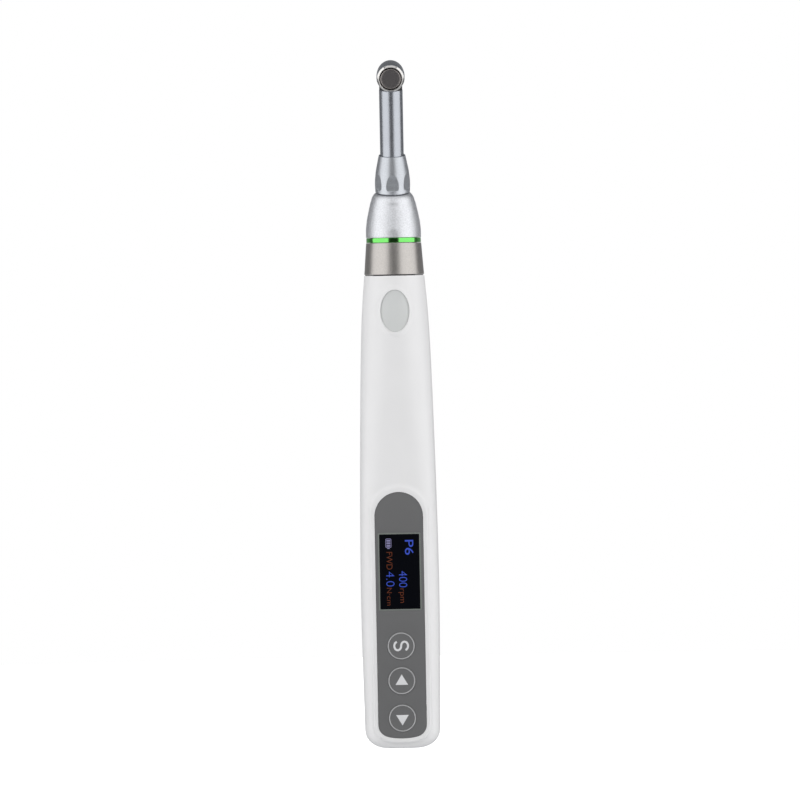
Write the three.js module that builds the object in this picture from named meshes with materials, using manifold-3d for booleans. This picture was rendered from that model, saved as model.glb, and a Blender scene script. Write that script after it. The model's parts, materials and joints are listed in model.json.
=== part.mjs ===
// Cordless endodontic motor: a white handle with a grey control panel and an oval power button,
// a small electric motor, and a pull-off reduction contra-angle with a push-button file chuck.
// Millimetres. +Z runs up the handle, the origin is the middle of the handle's flat base,
// and the control panel faces -Y.
import * as THREE from "three";
import { mergeVertices } from "three/addons/utils/BufferGeometryUtils.js";
import Module from "manifold-3d";

const wasm = await Module();
wasm.setup();

// ---------------------------------------------------------------- driving dimensions

// Handle
const HANDLE_TOP = 137.2;
const WALL = 1.6;
const PARTING_Y = 1.5; // the front and back shells meet on this plane
const PARTING_GAP = 0.1;
const BASE_ROUND = { width: 6.2, depth: 2.5, height: 5 }; // the base's corners, from the front and side

// Sections of the handle: height, half width, depth to the front, depth to the back, and how
// square the front and back halves of the section are (2 is an ellipse).
const SECTIONS = [
  { z: 0, half: 10.85, front: 10.6, back: 10.8, squareFront: 4.8, squareBack: 2.8 },
  { z: 8, half: 10.95, front: 10.7, back: 11, squareFront: 4.8, squareBack: 2.8 },
  { z: 30, half: 11.3, front: 10.9, back: 11.6, squareFront: 4.8, squareBack: 2.7 },
  { z: 50, half: 11.4, front: 10.95, back: 11.8, squareFront: 4.8, squareBack: 2.7 },
  { z: 72, half: 11.15, front: 10.8, back: 11.4, squareFront: 4.4, squareBack: 2.6 },
  { z: 90, half: 10.8, front: 10.2, back: 10.9, squareFront: 3.3, squareBack: 2.4 },
  { z: 110, half: 10.3, front: 9.7, back: 10.3, squareFront: 2.5, squareBack: 2.2 },
  { z: 125, half: 9.7, front: 9.3, back: 9.7, squareFront: 2.2, squareBack: 2.1 },
  { z: 137.2, half: 8.75, front: 8.7, back: 8.75, squareFront: 2, squareBack: 2 },
];
const OUTER_HEIGHTS = [0, 0.5, 1.5, 3, 5, 18, 34, 50, 66, 80, 94, 108, 122, 130, 137.2];
const INNER_HEIGHTS = [1.8, 3.2, 6.6, 30, 52, 72, 92, 110, 125, 138];

// Control panel
const PANEL_HALF = 7.05;
const PANEL_BOTTOM = 3;
const PANEL_ARCH_Z = 67.45; // centre of the half-round top
const PAD_FACE_Y = -11.1; // front of the raised rim round the panel
const RIM = 0.85;
const PANEL_FACE_Y = -10.95;
const PANEL_BACK_Y = -10.1;
const PAD_BACK_Y = -8.6;
const SCREEN = { width: 11.6, height: 21.7, z: 51.4 };
const KEYS = [
  { name: "key_down", z: 8.9 },
  { name: "key_up", z: 19.75 },
  { name: "key_set", z: 29.85 },
];
const KEY_RADIUS = 3.9;
const KEY_GAP = 0.15;

// Power button
const BUTTON = { halfWidth: 4.16, halfHeight: 6.06, z: 127 };

// Boards, battery and screws
const BOARD = { half: 6.1, bottom: 4.8, top: 78, front: -6.6, back: -5.6 };
const CELL = { radius: 7, y: 1.6, bottom: 15.2, top: 65.2 };
const CONTACTS = [
  { name: "charge_contact_left", x: -3, y: 5 },
  { name: "charge_contact_right", x: 3, y: 5 },
];
const SCREWS = [
  { name: "screw_lower_left", x: -7.9, z: 11, seat: 6.2 },
  { name: "screw_lower_right", x: 7.9, z: 11, seat: 6.2 },
  { name: "screw_upper", x: 0, z: 82, seat: 8.5 },
];

// Motor and coupling
const MOTOR = { radius: 5.2, bottom: 99, top: 133.9 };
const COLLAR = { bottom: 137.55, top: 146.75, lower: 8.7, upper: 8.02 };
const SPIGOT = { radius: 5, bore: 3.4, top: 149.5 };

// Contra-angle
const BAND = { bottom: 146.85, top: 148.3, radius: 7.95 };
const BEND_Z = 157; // the neck's axis meets the handle's here
const NECK_TILT = THREE.MathUtils.degToRad(12);
const HEAD_S = 39.1; // along the neck, from the bend to the head's axis
const NECK_RADIUS = 3.42;
const HEAD_RADIUS = 4.08;

// Gears: teeth and pitch radii. The ring gear is fixed, so the planet stage turns 4 to 1.
const MODULE = 0.28;
const SUN_TEETH = 12;
const PLANET_TEETH = 12;
const RING_TEETH = 36;
const PLANETS = 3;
const STAGE = { bottom: 152.8, top: 155.4 };
const PLANET_ORBIT = (MODULE * (SUN_TEETH + PLANET_TEETH)) / 2;
const CROWN_TEETH = 10;
const PINION = { teeth: 10, radius: 1.6, distance: 2.4 };
const CHUCK_GEAR = { teeth: 15, radius: 2.4, distance: 1.6 };
const BEVEL_KEEP = 0.74; // small end over large end, measured from the cone's apex

// ---------------------------------------------------------------- finishes

const finish = (color, roughness, metalness) =>
  new THREE.MeshStandardMaterial({ color, roughness, metalness });
const FINISH = {
  shell: finish(0xe9e9eb, 0.4, 0),
  panel: finish(0x5f6163, 0.55, 0),
  button: finish(0xc4c8c6, 0.6, 0),
  glass: finish(0x050608, 0.1, 0),
  satin: finish(0xc9ccd3, 0.3, 1),
  polished: finish(0xe6e4e0, 0.12, 1),
  collar: finish(0xa8a39c, 0.35, 1),
  dark: finish(0x524f50, 0.45, 0.6),
  green: finish(0x35b93a, 0.25, 0.8),
  steel: finish(0x9a9ca0, 0.3, 1),
  brass: finish(0xb9973f, 0.3, 1),
  gold: finish(0xd4af37, 0.25, 1),
  rubber: finish(0x1c1c1e, 0.8, 0),
  board: finish(0x1d5c35, 0.6, 0),
  black: finish(0x202124, 0.6, 0),
  cell: finish(0x2f6fb0, 0.5, 0),
};

// ---------------------------------------------------------------- solids from geometry

// The closed solid of a geometry, turned inside out where its faces point inwards.
function solid(geometry) {
  const bare = geometry.index ? geometry.toNonIndexed() : geometry.clone();
  bare.deleteAttribute("normal");
  bare.deleteAttribute("uv");
  const merged = mergeVertices(bare, 1e-4);
  const corners = [];
  for (let i = 0; i < merged.index.count; i += 3) {
    const [a, b, c] = [0, 1, 2].map((k) => merged.index.getX(i + k));
    if (a !== b && b !== c && c !== a) corners.push([a, b, c]);
  }
  const make = (faces) =>
    new wasm.Manifold(
      new wasm.Mesh({
        numProp: 3,
        vertProperties: merged.attributes.position.array,
        triVerts: new Uint32Array(faces.flat()),
      }),
    );
  const made = make(corners);
  return made.volume() < 0 ? make(corners.map(([a, b, c]) => [a, c, b])) : made;
}

function geometryOf(body) {
  const made = body.getMesh();
  const geometry = new THREE.BufferGeometry();
  geometry.setAttribute("position", new THREE.BufferAttribute(made.vertProperties, 3));
  geometry.setIndex(new THREE.BufferAttribute(made.triVerts, 1));
  return geometry;
}

const union = (...bodies) => bodies.reduce((all, body) => all.add(body));
const cut = (body, ...tools) => tools.reduce((left, tool) => left.subtract(tool), body);

const moved = (x, y, z = 0) => new THREE.Matrix4().makeTranslation(x, y, z);

// Turns a profile of [radius, height] points about Z, then moves it by matrix.
function turned(profile, { segments = 20, matrix = null } = {}) {
  const points = profile.map(([radius, height]) => new THREE.Vector2(radius, height));
  const geometry = new THREE.LatheGeometry(points, segments).rotateX(Math.PI / 2);
  if (matrix) geometry.applyMatrix4(matrix);
  return solid(geometry);
}

const rod = (radius, bottom, top, options) =>
  turned([[0, bottom], [radius, bottom], [radius, top], [0, top]], options);

const tube = (inner, outer, bottom, top, options) =>
  turned([[inner, bottom], [outer, bottom], [outer, top], [inner, top], [inner, bottom]], options);

function box(x0, x1, y0, y1, z0, z1) {
  const geometry = new THREE.BoxGeometry(x1 - x0, y1 - y0, z1 - z0);
  return solid(geometry.translate((x0 + x1) / 2, (y0 + y1) / 2, (z0 + z1) / 2));
}

// A shape drawn in X and Z, given depth from y0 back to y1.
function prismY(shape, y0, y1, curveSegments = 8) {
  const geometry = new THREE.ExtrudeGeometry(shape, { depth: y1 - y0, bevelEnabled: false, curveSegments });
  return solid(geometry.rotateX(Math.PI / 2).translate(0, y1, 0));
}

function prismZ(shape, z0, z1, curveSegments = 8) {
  const geometry = new THREE.ExtrudeGeometry(shape, { depth: z1 - z0, bevelEnabled: false, curveSegments });
  return solid(geometry.translate(0, 0, z0));
}

// A strip drawn in Y and Z as a polygon, half wide to each side of x = 0.
function stripX(points, half) {
  const shape = new THREE.Shape(points.map(([y, z]) => new THREE.Vector2(y, z)));
  const geometry = new THREE.ExtrudeGeometry(shape, { depth: 2 * half, bevelEnabled: false });
  const toXYZ = new THREE.Matrix4().makeBasis(
    new THREE.Vector3(0, 1, 0),
    new THREE.Vector3(0, 0, 1),
    new THREE.Vector3(1, 0, 0),
  );
  return solid(geometry.applyMatrix4(toXYZ).translate(-half, 0, 0));
}

// A cylinder along Y at (x, z).
function rodY(radius, x, z, y0, y1, segments = 20) {
  const shape = new THREE.Shape().absarc(x, z, radius, 0, 2 * Math.PI);
  return prismY(shape, y0, y1, segments / 2);
}

// Skins a stack of rings, each a list of as many Vector3, and closes both ends.
function skinned(rings) {
  const count = rings[0].length;
  const middle = (ring) => ring.reduce((sum, p) => sum.add(p), new THREE.Vector3()).divideScalar(count);
  const points = [...rings.flat(), middle(rings[0]), middle(rings.at(-1))];
  const [first, last] = [points.length - 2, points.length - 1];
  const faces = [];
  for (let i = 0; i < count; i++) {
    const j = (i + 1) % count;
    for (let k = 0; k + 1 < rings.length; k++) {
      const [a, b, c, d] = [k * count + i, k * count + j, (k + 1) * count + j, (k + 1) * count + i];
      faces.push(a, b, c, a, c, d);
    }
    const top = (rings.length - 1) * count;
    faces.push(first, j, i, last, top + i, top + j);
  }
  return solid(new THREE.BufferGeometry().setFromPoints(points).setIndex(faces));
}

// ---------------------------------------------------------------- the handle's shape

// One value of the section at height z, by a smooth curve through SECTIONS.
function sectionValue(key, z) {
  const last = SECTIONS.length - 1;
  let i = 0;
  while (i < last - 1 && z > SECTIONS[i + 1].z) i++;
  const [a, b] = [SECTIONS[i], SECTIONS[i + 1]];
  const slope = (k) => {
    const [p, q] = [SECTIONS[Math.max(k - 1, 0)], SECTIONS[Math.min(k + 1, last)]];
    return (q[key] - p[key]) / (q.z - p.z);
  };
  const span = b.z - a.z;
  const t = (z - a.z) / span;
  const [t2, t3] = [t * t, t * t * t];
  const [startSlope, endSlope] = [slope(i) * span, slope(i + 1) * span];
  const values = (2 * t3 - 3 * t2 + 1) * a[key] + (3 * t2 - 2 * t3) * b[key];
  return values + (t3 - 2 * t2 + t) * startSlope + (t3 - t2) * endSlope;
}

// How far a rounded base corner of the given width draws the section in at height z.
function roundIn(width, z) {
  const drop = Math.max(0, 1 - z / BASE_ROUND.height);
  return width * (1 - Math.sqrt(1 - drop ** 2));
}

// The handle's section at height z, grown outwards by grow, as a ring of points.
function handleRing(z, grow, count) {
  const inside = Math.max(0, z + grow); // a grown or shrunk handle keeps its rounded base
  const half = sectionValue("half", z) + grow - roundIn(BASE_ROUND.width, inside);
  const ring = [];
  for (let i = 0; i < count; i++) {
    const angle = (2 * Math.PI * i) / count;
    const [c, s] = [Math.cos(angle), Math.sin(angle)];
    const side = s > 0 ? "back" : "front";
    const power = 2 / sectionValue(s > 0 ? "squareBack" : "squareFront", z);
    const depth = sectionValue(side, z) + grow - roundIn(BASE_ROUND.depth, inside);
    ring.push(
      new THREE.Vector3(
        Math.sign(c) * half * Math.abs(c) ** power,
        Math.sign(s) * depth * Math.abs(s) ** power,
        z,
      ),
    );
  }
  return ring;
}

const handleSolid = (grow, heights, count) => skinned(heights.map((z) => handleRing(z, grow, count)));

// The control panel's outline, grown by grow: a half-round top and a shallow rounded bottom.
function panelOutline(grow) {
  const half = PANEL_HALF + grow;
  const bottom = PANEL_BOTTOM - grow;
  const shape = new THREE.Shape();
  shape.moveTo(0, bottom);
  shape.quadraticCurveTo(half * 0.36, bottom, half * 0.62, bottom + 0.5);
  shape.quadraticCurveTo(half, bottom + 1.4, half, bottom + 4.2);
  shape.lineTo(half, PANEL_ARCH_Z);
  shape.absarc(0, PANEL_ARCH_Z, half, 0, Math.PI);
  shape.lineTo(-half, bottom + 4.2);
  shape.quadraticCurveTo(-half, bottom + 1.4, -half * 0.62, bottom + 0.5);
  shape.quadraticCurveTo(-half * 0.36, bottom, 0, bottom);
  return shape;
}

const buttonPrism = (grow) => {
  const oval = new THREE.Shape();
  oval.absellipse(0, BUTTON.z, BUTTON.halfWidth + grow, BUTTON.halfHeight + grow, 0, 2 * Math.PI);
  return prismY(oval, -14, -5, 12);
};

const screenBox = (grow, y0, y1) =>
  box(
    -SCREEN.width / 2 - grow,
    SCREEN.width / 2 + grow,
    y0,
    y1,
    SCREEN.z - SCREEN.height / 2 - grow,
    SCREEN.z + SCREEN.height / 2 + grow,
  );

// ---------------------------------------------------------------- handle parts

const slab = (z0, z1) => box(-20, 20, -20, 20, z0, z1);
const BUTTON_HEIGHTS = [118, 122, 127, 132, 136];

function shells() {
  const cavity = handleSolid(-WALL, INNER_HEIGHTS, 28);
  const hollow = handleSolid(0, OUTER_HEIGHTS, 36).subtract(cavity);
  // two ribs hold the motor, and the shells' walls carry them
  const ribForm = handleSolid(-WALL + 0.3, [100, 108, 118], 28).subtract(rod(5.4, 99, 120));
  const ribs = [103, 114].map((z) => slab(z, z + 1.4).intersect(ribForm));
  const body = union(hollow, ...ribs);
  const front = box(-20, 20, -20, PARTING_Y - PARTING_GAP / 2, -1, 140);
  const back = box(-20, 20, PARTING_Y + PARTING_GAP / 2, 20, -1, 140);
  const fence = handleSolid(-0.8, OUTER_HEIGHTS.slice(2), 28);

  const pad = prismY(panelOutline(RIM), PAD_FACE_Y, PAD_BACK_Y);
  const lip = buttonPrism(1.2).intersect(handleSolid(0.35, BUTTON_HEIGHTS, 36));
  const lipRing = lip.subtract(handleSolid(-0.8, BUTTON_HEIGHTS, 36));
  const bosses = SCREWS.map(({ x, z }) =>
    rodY(1.6, x, z, -9.4, PARTING_Y - PARTING_GAP / 2).intersect(fence),
  );
  const frontShell = cut(
    union(body.intersect(front), pad, lipRing, ...bosses),
    prismY(panelOutline(0.1), -13, PANEL_BACK_Y + 0.05),
    screenBox(-0.5, -12, -8),
    ...KEYS.map(({ z }) => rodY(KEY_RADIUS + KEY_GAP, 0, z, -12, -8, 24)),
    buttonPrism(0.25),
    ...SCREWS.map(({ x, z }) => rodY(0.75, x, z, -4, 2, 12)),
  );

  const backBosses = SCREWS.map(({ x, z }) =>
    rodY(1.95, x, z, PARTING_Y + PARTING_GAP / 2, 12).intersect(fence),
  );
  const backShell = cut(
    union(body.intersect(back), ...backBosses),
    ...SCREWS.map(({ x, z }) => rodY(0.85, x, z, 0, 12, 12)),
    ...SCREWS.map(({ x, z, seat }) => rodY(1.5, x, z, seat, 14, 16)),
    ...CONTACTS.map(({ x, y }) => rod(1, -1, 3, { segments: 16, matrix: moved(x, y) })),
  );
  return { frontShell, backShell };
}

function panelPlate() {
  return cut(
    prismY(panelOutline(0), PANEL_FACE_Y, PANEL_BACK_Y),
    screenBox(0.1, -12, -8),
    ...KEYS.map(({ z }) => rodY(KEY_RADIUS + KEY_GAP, 0, z, -12, -8, 24)),
  );
}

// A key: a round cap in the panel, with a flange that keeps it in and presses its switch.
const key = ({ z }) =>
  union(
    rodY(KEY_RADIUS, 0, z, PAD_FACE_Y, -8.35, 24),
    rodY(KEY_RADIUS + 0.5, 0, z, -8.4, -7.95, 24),
  );

const keySwitch = ({ z }) =>
  union(
    box(-2, 2, -7.1, BOARD.front - 0.05, z - 2, z + 2),
    rodY(1, 0, z, -7.4, -7.05, 12),
  );

// The power button follows the handle's face, and a pin behind it presses its switch.
function powerButton() {
  const cap = buttonPrism(0).intersect(handleSolid(0.2, BUTTON_HEIGHTS, 36));
  const hollow = handleSolid(-WALL - 0.65, BUTTON_HEIGHTS, 28);
  const flange = buttonPrism(0.7).intersect(handleSolid(-WALL - 0.25, BUTTON_HEIGHTS, 28));
  return union(union(cap, flange).subtract(hollow), rodY(1.2, 0, BUTTON.z, -7.4, -6.95, 12));
}

const powerSwitch = () =>
  union(
    box(-1.5, 1.5, -6.25, -5.85, BUTTON.z - 1.5, BUTTON.z + 1.5),
    rodY(0.7, 0, BUTTON.z, -6.5, -6.2, 10),
  );

const batteryCell = () =>
  rod(CELL.radius, CELL.bottom, CELL.top, { segments: 28, matrix: moved(0, CELL.y) });

// A trough behind the cell, with an end wall above and below it.
function batteryHolder() {
  const at = moved(0, CELL.y);
  const [low, high] = [CELL.bottom - 1.8, CELL.top + 1.6];
  const trough = tube(CELL.radius + 0.15, CELL.radius + 0.8, low, high, { matrix: at, segments: 28 });
  const ends = [rod(CELL.radius + 0.8, low, low + 1, { matrix: at, segments: 28 })];
  ends.push(rod(CELL.radius + 0.8, high - 1, high, { matrix: at, segments: 28 }));
  return union(trough, ...ends).intersect(box(-12, 12, CELL.y, 12, low - 1, high + 1));
}

function mainBoard() {
  const notches = [-1, 1].map((side) => box(side * 6.1 - 0.6, side * 6.1 + 0.6, -8, -4, 9, 13));
  return cut(box(-BOARD.half, BOARD.half, BOARD.front, BOARD.back, BOARD.bottom, BOARD.top), ...notches);
}

function screw({ x, z, seat }) {
  const head = rodY(1.35, x, z, seat + 0.05, seat + 1.1, 16);
  const drive = union(
    box(x - 0.8, x + 0.8, seat + 0.6, seat + 2, z - 0.17, z + 0.17),
    box(x - 0.17, x + 0.17, seat + 0.6, seat + 2, z - 0.8, z + 0.8),
  );
  return union(head, rodY(0.65, x, z, -3, seat + 0.1, 10)).subtract(drive);
}

const chargeContact = ({ x, y }) =>
  turned([[0, 0.15], [0.8, 0.15], [0.8, 2], [1.3, 2], [1.3, 3], [0, 3]], {
    segments: 12,
    matrix: moved(x, y),
  });

// ---------------------------------------------------------------- motor and coupling

const motorCan = () =>
  turned([
    [4.9, MOTOR.bottom], [MOTOR.radius, MOTOR.bottom], [MOTOR.radius, MOTOR.top],
    [2.4, MOTOR.top], [2.4, MOTOR.top - 1], [4.4, MOTOR.top - 1], [4.4, MOTOR.bottom + 1],
    [4.9, MOTOR.bottom + 1], [4.9, MOTOR.bottom],
  ]);

const motorRearCover = () =>
  turned([[0, 98.2], [4.8, 98.2], [4.8, 99.9], [2.5, 99.9], [2.5, 99.1], [0, 99.1]]);

// The motor's front flange carries the spigot that the contra-angle turns on.
function motorFlange() {
  return turned([
    [2.6, 134], [7, 134], [7, 137.2], [6.1, 137.2], [6.1, 138.7], [SPIGOT.radius, 138.7],
    [SPIGOT.radius, 140.4], [4.6, 140.4], [4.6, 141.6], [SPIGOT.radius, 141.6],
    [SPIGOT.radius, 147], [4.6, 147], [4.6, 148.2], [SPIGOT.radius, 148.2],
    [SPIGOT.radius, 149.1], [4.6, SPIGOT.top], [SPIGOT.bore, SPIGOT.top],
    [SPIGOT.bore, 136.2], [2.6, 136.2], [2.6, 134],
  ]);
}

// The seal in the spigot's lower groove, with a five-sided section.
function spigotSeal() {
  const [inner, outer, height, sides] = [4.65, 5.2, 141, 5];
  const [radius, middle] = [(outer - inner) / 2, (outer + inner) / 2];
  const section = Array.from({ length: sides + 1 }, (_, i) => {
    const angle = (2 * Math.PI * (i % sides)) / sides;
    return [middle + radius * Math.cos(angle), height + radius * Math.sin(angle)];
  });
  return turned(section, { segments: 24 });
}

// The shaft and its drive dog, with the slot that the contra-angle's tongue drops into.
const motorShaft = () =>
  union(rod(0.8, 99.3, 139, { segments: 16 }), rod(2.2, 138.9, 143, { segments: 24 })).subtract(
    box(-3, 3, -0.65, 0.65, 141, 144),
  );

const collar = () =>
  turned([
    [6.2, COLLAR.bottom], [COLLAR.lower, COLLAR.bottom], [COLLAR.upper, COLLAR.top],
    [7, COLLAR.top], [7, 139], [6.2, 138.7], [6.2, COLLAR.bottom],
  ], { segments: 32 });

// ---------------------------------------------------------------- gears

const polar = (radius, angle) => [radius * Math.cos(angle), radius * Math.sin(angle)];

// Straight-sided teeth round a circle: tip and root radii, with a tooth at angle start.
function teethOutline(teeth, tip, root, start = 0) {
  const pitch = (2 * Math.PI) / teeth;
  const points = [];
  for (let i = 0; i < teeth; i++) {
    const middle = start + i * pitch;
    for (const [radius, share] of [[root, -0.3], [tip, -0.12], [tip, 0.12], [root, 0.3]])
      points.push(polar(radius, middle + share * pitch));
  }
  return points;
}

const shapeOf = (points) => new THREE.Shape(points.map(([x, y]) => new THREE.Vector2(x, y)));

function spurGear(teeth, start) {
  const radius = (MODULE * teeth) / 2;
  const outline = teethOutline(teeth, radius + 0.75 * MODULE, radius - 1.1 * MODULE, start);
  return prismZ(shapeOf(outline), STAGE.bottom, STAGE.top);
}

function ringGear() {
  const radius = (MODULE * RING_TEETH) / 2;
  const teeth = teethOutline(RING_TEETH, radius - 0.75 * MODULE, radius + 1.1 * MODULE);
  const blank = new THREE.Shape().absarc(0, 0, 5.9, 0, 2 * Math.PI);
  blank.holes.push(new THREE.Path(teeth.map(([x, y]) => new THREE.Vector2(x, y))));
  return prismZ(blank, STAGE.bottom - 0.2, STAGE.top + 0.1, 18);
}

// A bevel gear whose cone's apex is the origin, with its large end at height distance.
function bevelGear({ teeth, radius, distance }, start, bore) {
  const size = (2 * radius) / teeth;
  const rake = Math.atan(radius / distance);
  const [tip, root] = [radius + 0.62 * size * Math.cos(rake), radius - 1.1 * size * Math.cos(rake)];
  const outline = teethOutline(teeth, tip, root, start);
  const ring = (scale) =>
    outline.map(([x, y]) => new THREE.Vector3(x, y, distance).multiplyScalar(scale));
  const gear = skinned([ring(BEVEL_KEEP), ring(1)]);
  return bore ? gear.subtract(rod(bore, 0, distance + 1, { segments: 24 })) : gear;
}

// A crown gear facing up, with its pitch cone's apex at the origin.
function crownGear(start) {
  const [inner, outer, cone] = [1.1, 2.5, Math.tan(NECK_TILT / 2)];
  const pitch = (2 * Math.PI) / CROWN_TEETH;
  const toothSection = [[-0.29, -0.5], [0.29, -0.5], [0.13, 0.17], [-0.13, 0.17]];
  const teeth = Array.from({ length: CROWN_TEETH }, (_, i) => {
    const middle = start + i * pitch;
    const end = (radius) =>
      toothSection.map(([share, rise]) => {
        const [x, y] = polar(radius, middle + share * pitch);
        return new THREE.Vector3(x, y, rise - radius * cone);
      });
    return skinned([end(inner), end(outer)]);
  });
  return union(rod(outer, -0.75, -0.48, { segments: 20 }), ...teeth);
}

// ---------------------------------------------------------------- contra-angle parts

const NECK_MATRIX = new THREE.Matrix4()
  .makeRotationX(NECK_TILT)
  .setPosition(new THREE.Vector3(0, 0, BEND_Z));
const aboutNeck = { matrix: NECK_MATRIX };

// The sleeve is turned on two axes: its rear on the handle's, its front on the neck's.
function sleeve() {
  const rear = turned([
    [0, 139.2], [6.7, 139.2], [6.7, BAND.top], [8, BAND.top], [8, 150.5], [7.88, 151.8],
    [7.7, 153.3], [7.42, 154.7], [7.1, 156.2], [6.75, 157.7], [6.4, 159.2], [5.95, 161],
    [5.3, 163], [0, 163],
  ], { segments: 32 });
  const front = turned([
    [0, -22], [16, -22], [9.16, -4.6], [6.35, 2.04], [6.1, 3], [5.6, 3.9], [4.95, 4.45], [0, 4.45],
  ], { segments: 32, ...aboutNeck });
  const stub = rod(3.75, 3, 9, { segments: 24, ...aboutNeck });
  return cut(
    union(rear.intersect(front), stub),
    rod(6.05, 138, 156.6, { segments: 24 }),
    rod(2.95, -1, 10, { segments: 20, ...aboutNeck }),
  );
}

const colourBand = () =>
  tube(6.78, BAND.radius, BAND.bottom, BAND.top - 0.1, { segments: 32 });

// The snap ring that holds the contra-angle on the spigot, split on one side.
const retainingRing = () =>
  tube(5.08, 5.62, 147.2, 148, { segments: 20 }).subtract(box(0, 8, -0.8, 0.8, 146, 149));

const couplingBush = () =>
  turned([
    [5.3, 139.5], [6, 139.5], [6, 149.8], [5.3, 149.8], [5.3, 148.4], [5.7, 148.2],
    [5.7, 147], [5.3, 146.8], [5.3, 139.5],
  ]);

// The fluted nut that clamps the neck to the sleeve. Flats cut in its cone make the flutes.
function noseRing() {
  const blank = turned([
    [3.95, 4.8], [4.75, 4.75], [5, 5.3], [5.1, 6.8], [5.1, 8.1], [4.98, 9.5], [4.8, 11],
    [4.5, 12.5], [4.2, 14], [3.9, 15.4], [3.55, 15.6], [3.55, 10.5], [3.95, 10.4], [3.95, 4.8],
  ], { segments: 24 });
  const flats = Array.from({ length: 6 }, (_, i) => {
    const flat = new THREE.BoxGeometry(3.6, 2, 9).translate(0, -5.75, 10.6);
    return solid(flat.rotateZ((i * Math.PI) / 3));
  });
  return cut(blank, ...flats);
}

// Neck tube and head barrel in one piece. The head's own axis is the head group's Z.
const HEAD_MATRIX = new THREE.Matrix4()
  .makeRotationX(Math.PI / 2)
  .setPosition(new THREE.Vector3(0, 0, HEAD_S));
const aboutHead = { matrix: HEAD_MATRIX };

function headHousing() {
  const neck = turned([
    [0, 9.2], [3.7, 9.2], [3.7, 10.2], [NECK_RADIUS, 10.2], [NECK_RADIUS, HEAD_S], [0, HEAD_S],
  ], { segments: 24 });
  const barrel = turned([
    [0, -5.9], [2.5, -5.9], [3.3, -5.5], [3.7, -4.6], [3.88, -3.2], [4, -1.4],
    [HEAD_RADIUS, 0.4], [HEAD_RADIUS, 3.6], [3.95, 4.3], [0, 4.3],
  ], { segments: 28, ...aboutHead });
  return cut(
    union(neck, barrel),
    rod(2.3, 9, HEAD_S, { segments: 20 }),
    rod(2.8, -4.6, -2.6, { segments: 24, ...aboutHead }),
    rod(3.2, -2.8, 3.2, { segments: 24, ...aboutHead }),
    rod(3.5, 3.2, 5, { segments: 24, ...aboutHead }),
    rod(2, -7, -4.5, { segments: 20, ...aboutHead }),
  );
}

const headCap = () =>
  turned([
    [1.75, 3.3], [3.42, 3.3], [3.42, 4.4], [3.85, 4.4], [3.85, 5.1], [3.6, 5.45],
    [3.4, 5.6], [3.2, 5.5], [3.2, 3.6], [1.75, 3.6], [1.75, 3.3],
  ], { segments: 24 });

// A dished disc on a stem that presses the file latch open.
const pushButton = () =>
  turned([
    [0, 4.5], [0.9, 4.5], [0.9, 4.75], [2.85, 4.75], [2.85, 5.35], [2.7, 5.5], [2.4, 5.35],
    [0, 5.35],
  ], { segments: 24 });

function buttonSpring() {
  const [radius, turns, bottom, rise] = [2.25, 2, 3.78, 0.82];
  class Helix extends THREE.Curve {
    getPoint(t, target = new THREE.Vector3()) {
      const [x, y] = polar(radius, 2 * Math.PI * turns * t);
      return target.set(x, y, bottom + rise * t);
    }
  }
  const wire = new THREE.Shape().absarc(0, 0, 0.14, 0, 2 * Math.PI);
  const options = { steps: 26, extrudePath: new Helix(), curveSegments: 2, bevelEnabled: false };
  return solid(new THREE.ExtrudeGeometry(wire, options));
}

// The chuck: a hollow spindle that takes the file's shank, and the latch that holds it.
const chuckSpindle = () =>
  turned([
    [1.2, -5.5], [1.5, -5.5], [1.75, -4.4], [1.5, -4.3], [1.5, 3], [1.2, 3], [1.2, -5.5],
  ], { segments: 24 });

const fileLatch = () =>
  tube(0.5, 1.55, 3.1, 3.5, { segments: 20 }).subtract(box(0.4, 2, -0.5, 0.5, 3, 4));

function inputShaft() {
  const shaft = turned([[0, 145.2], [1.2, 145.2], [1.2, 152.9], [0, 152.9]], { segments: 20 });
  const tongue = box(-1.9, 1.9, -0.5, 0.5, 143.3, 144.8);
  const hub = rod(1.9, 144.7, 145.4, { segments: 20 });
  return union(shaft, tongue, hub, spurGear(SUN_TEETH, 0));
}

function carrier() {
  const pins = Array.from({ length: PLANETS }, (_, i) => {
    const at = moved(...polar(PLANET_ORBIT, (2 * Math.PI * i) / PLANETS));
    return rod(0.5, STAGE.bottom + 0.1, 155.7, { segments: 12, matrix: at });
  });
  const plate = rod(4.1, 155.6, 156, { segments: 28 });
  const hub = rod(2.5, 155.9, 156.3, { segments: 20 });
  const crown = crownGear(-Math.PI / 2).translate(0, 0, BEND_Z);
  return union(plate, hub, crown, ...pins);
}

// The shaft along the neck, with the bend's front gear at one end and the head's pinion at the other.
function neckShaft() {
  const crown = crownGear(Math.PI / 2 + Math.PI / CROWN_TEETH).rotate(180, 0, 0);
  const pinion = bevelGear(PINION, Math.PI / 2).rotate(180, 0, 0).translate(0, 0, HEAD_S);
  return union(crown, rod(0.8, 0.6, HEAD_S - PINION.distance + 0.2, { segments: 16 }), pinion);
}

// ---------------------------------------------------------------- assembly

function add(group, name, body, material) {
  const mesh = new THREE.Mesh(geometryOf(body), material);
  mesh.name = name;
  group.add(mesh);
  return mesh;
}

const motor = new THREE.Group();

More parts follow.
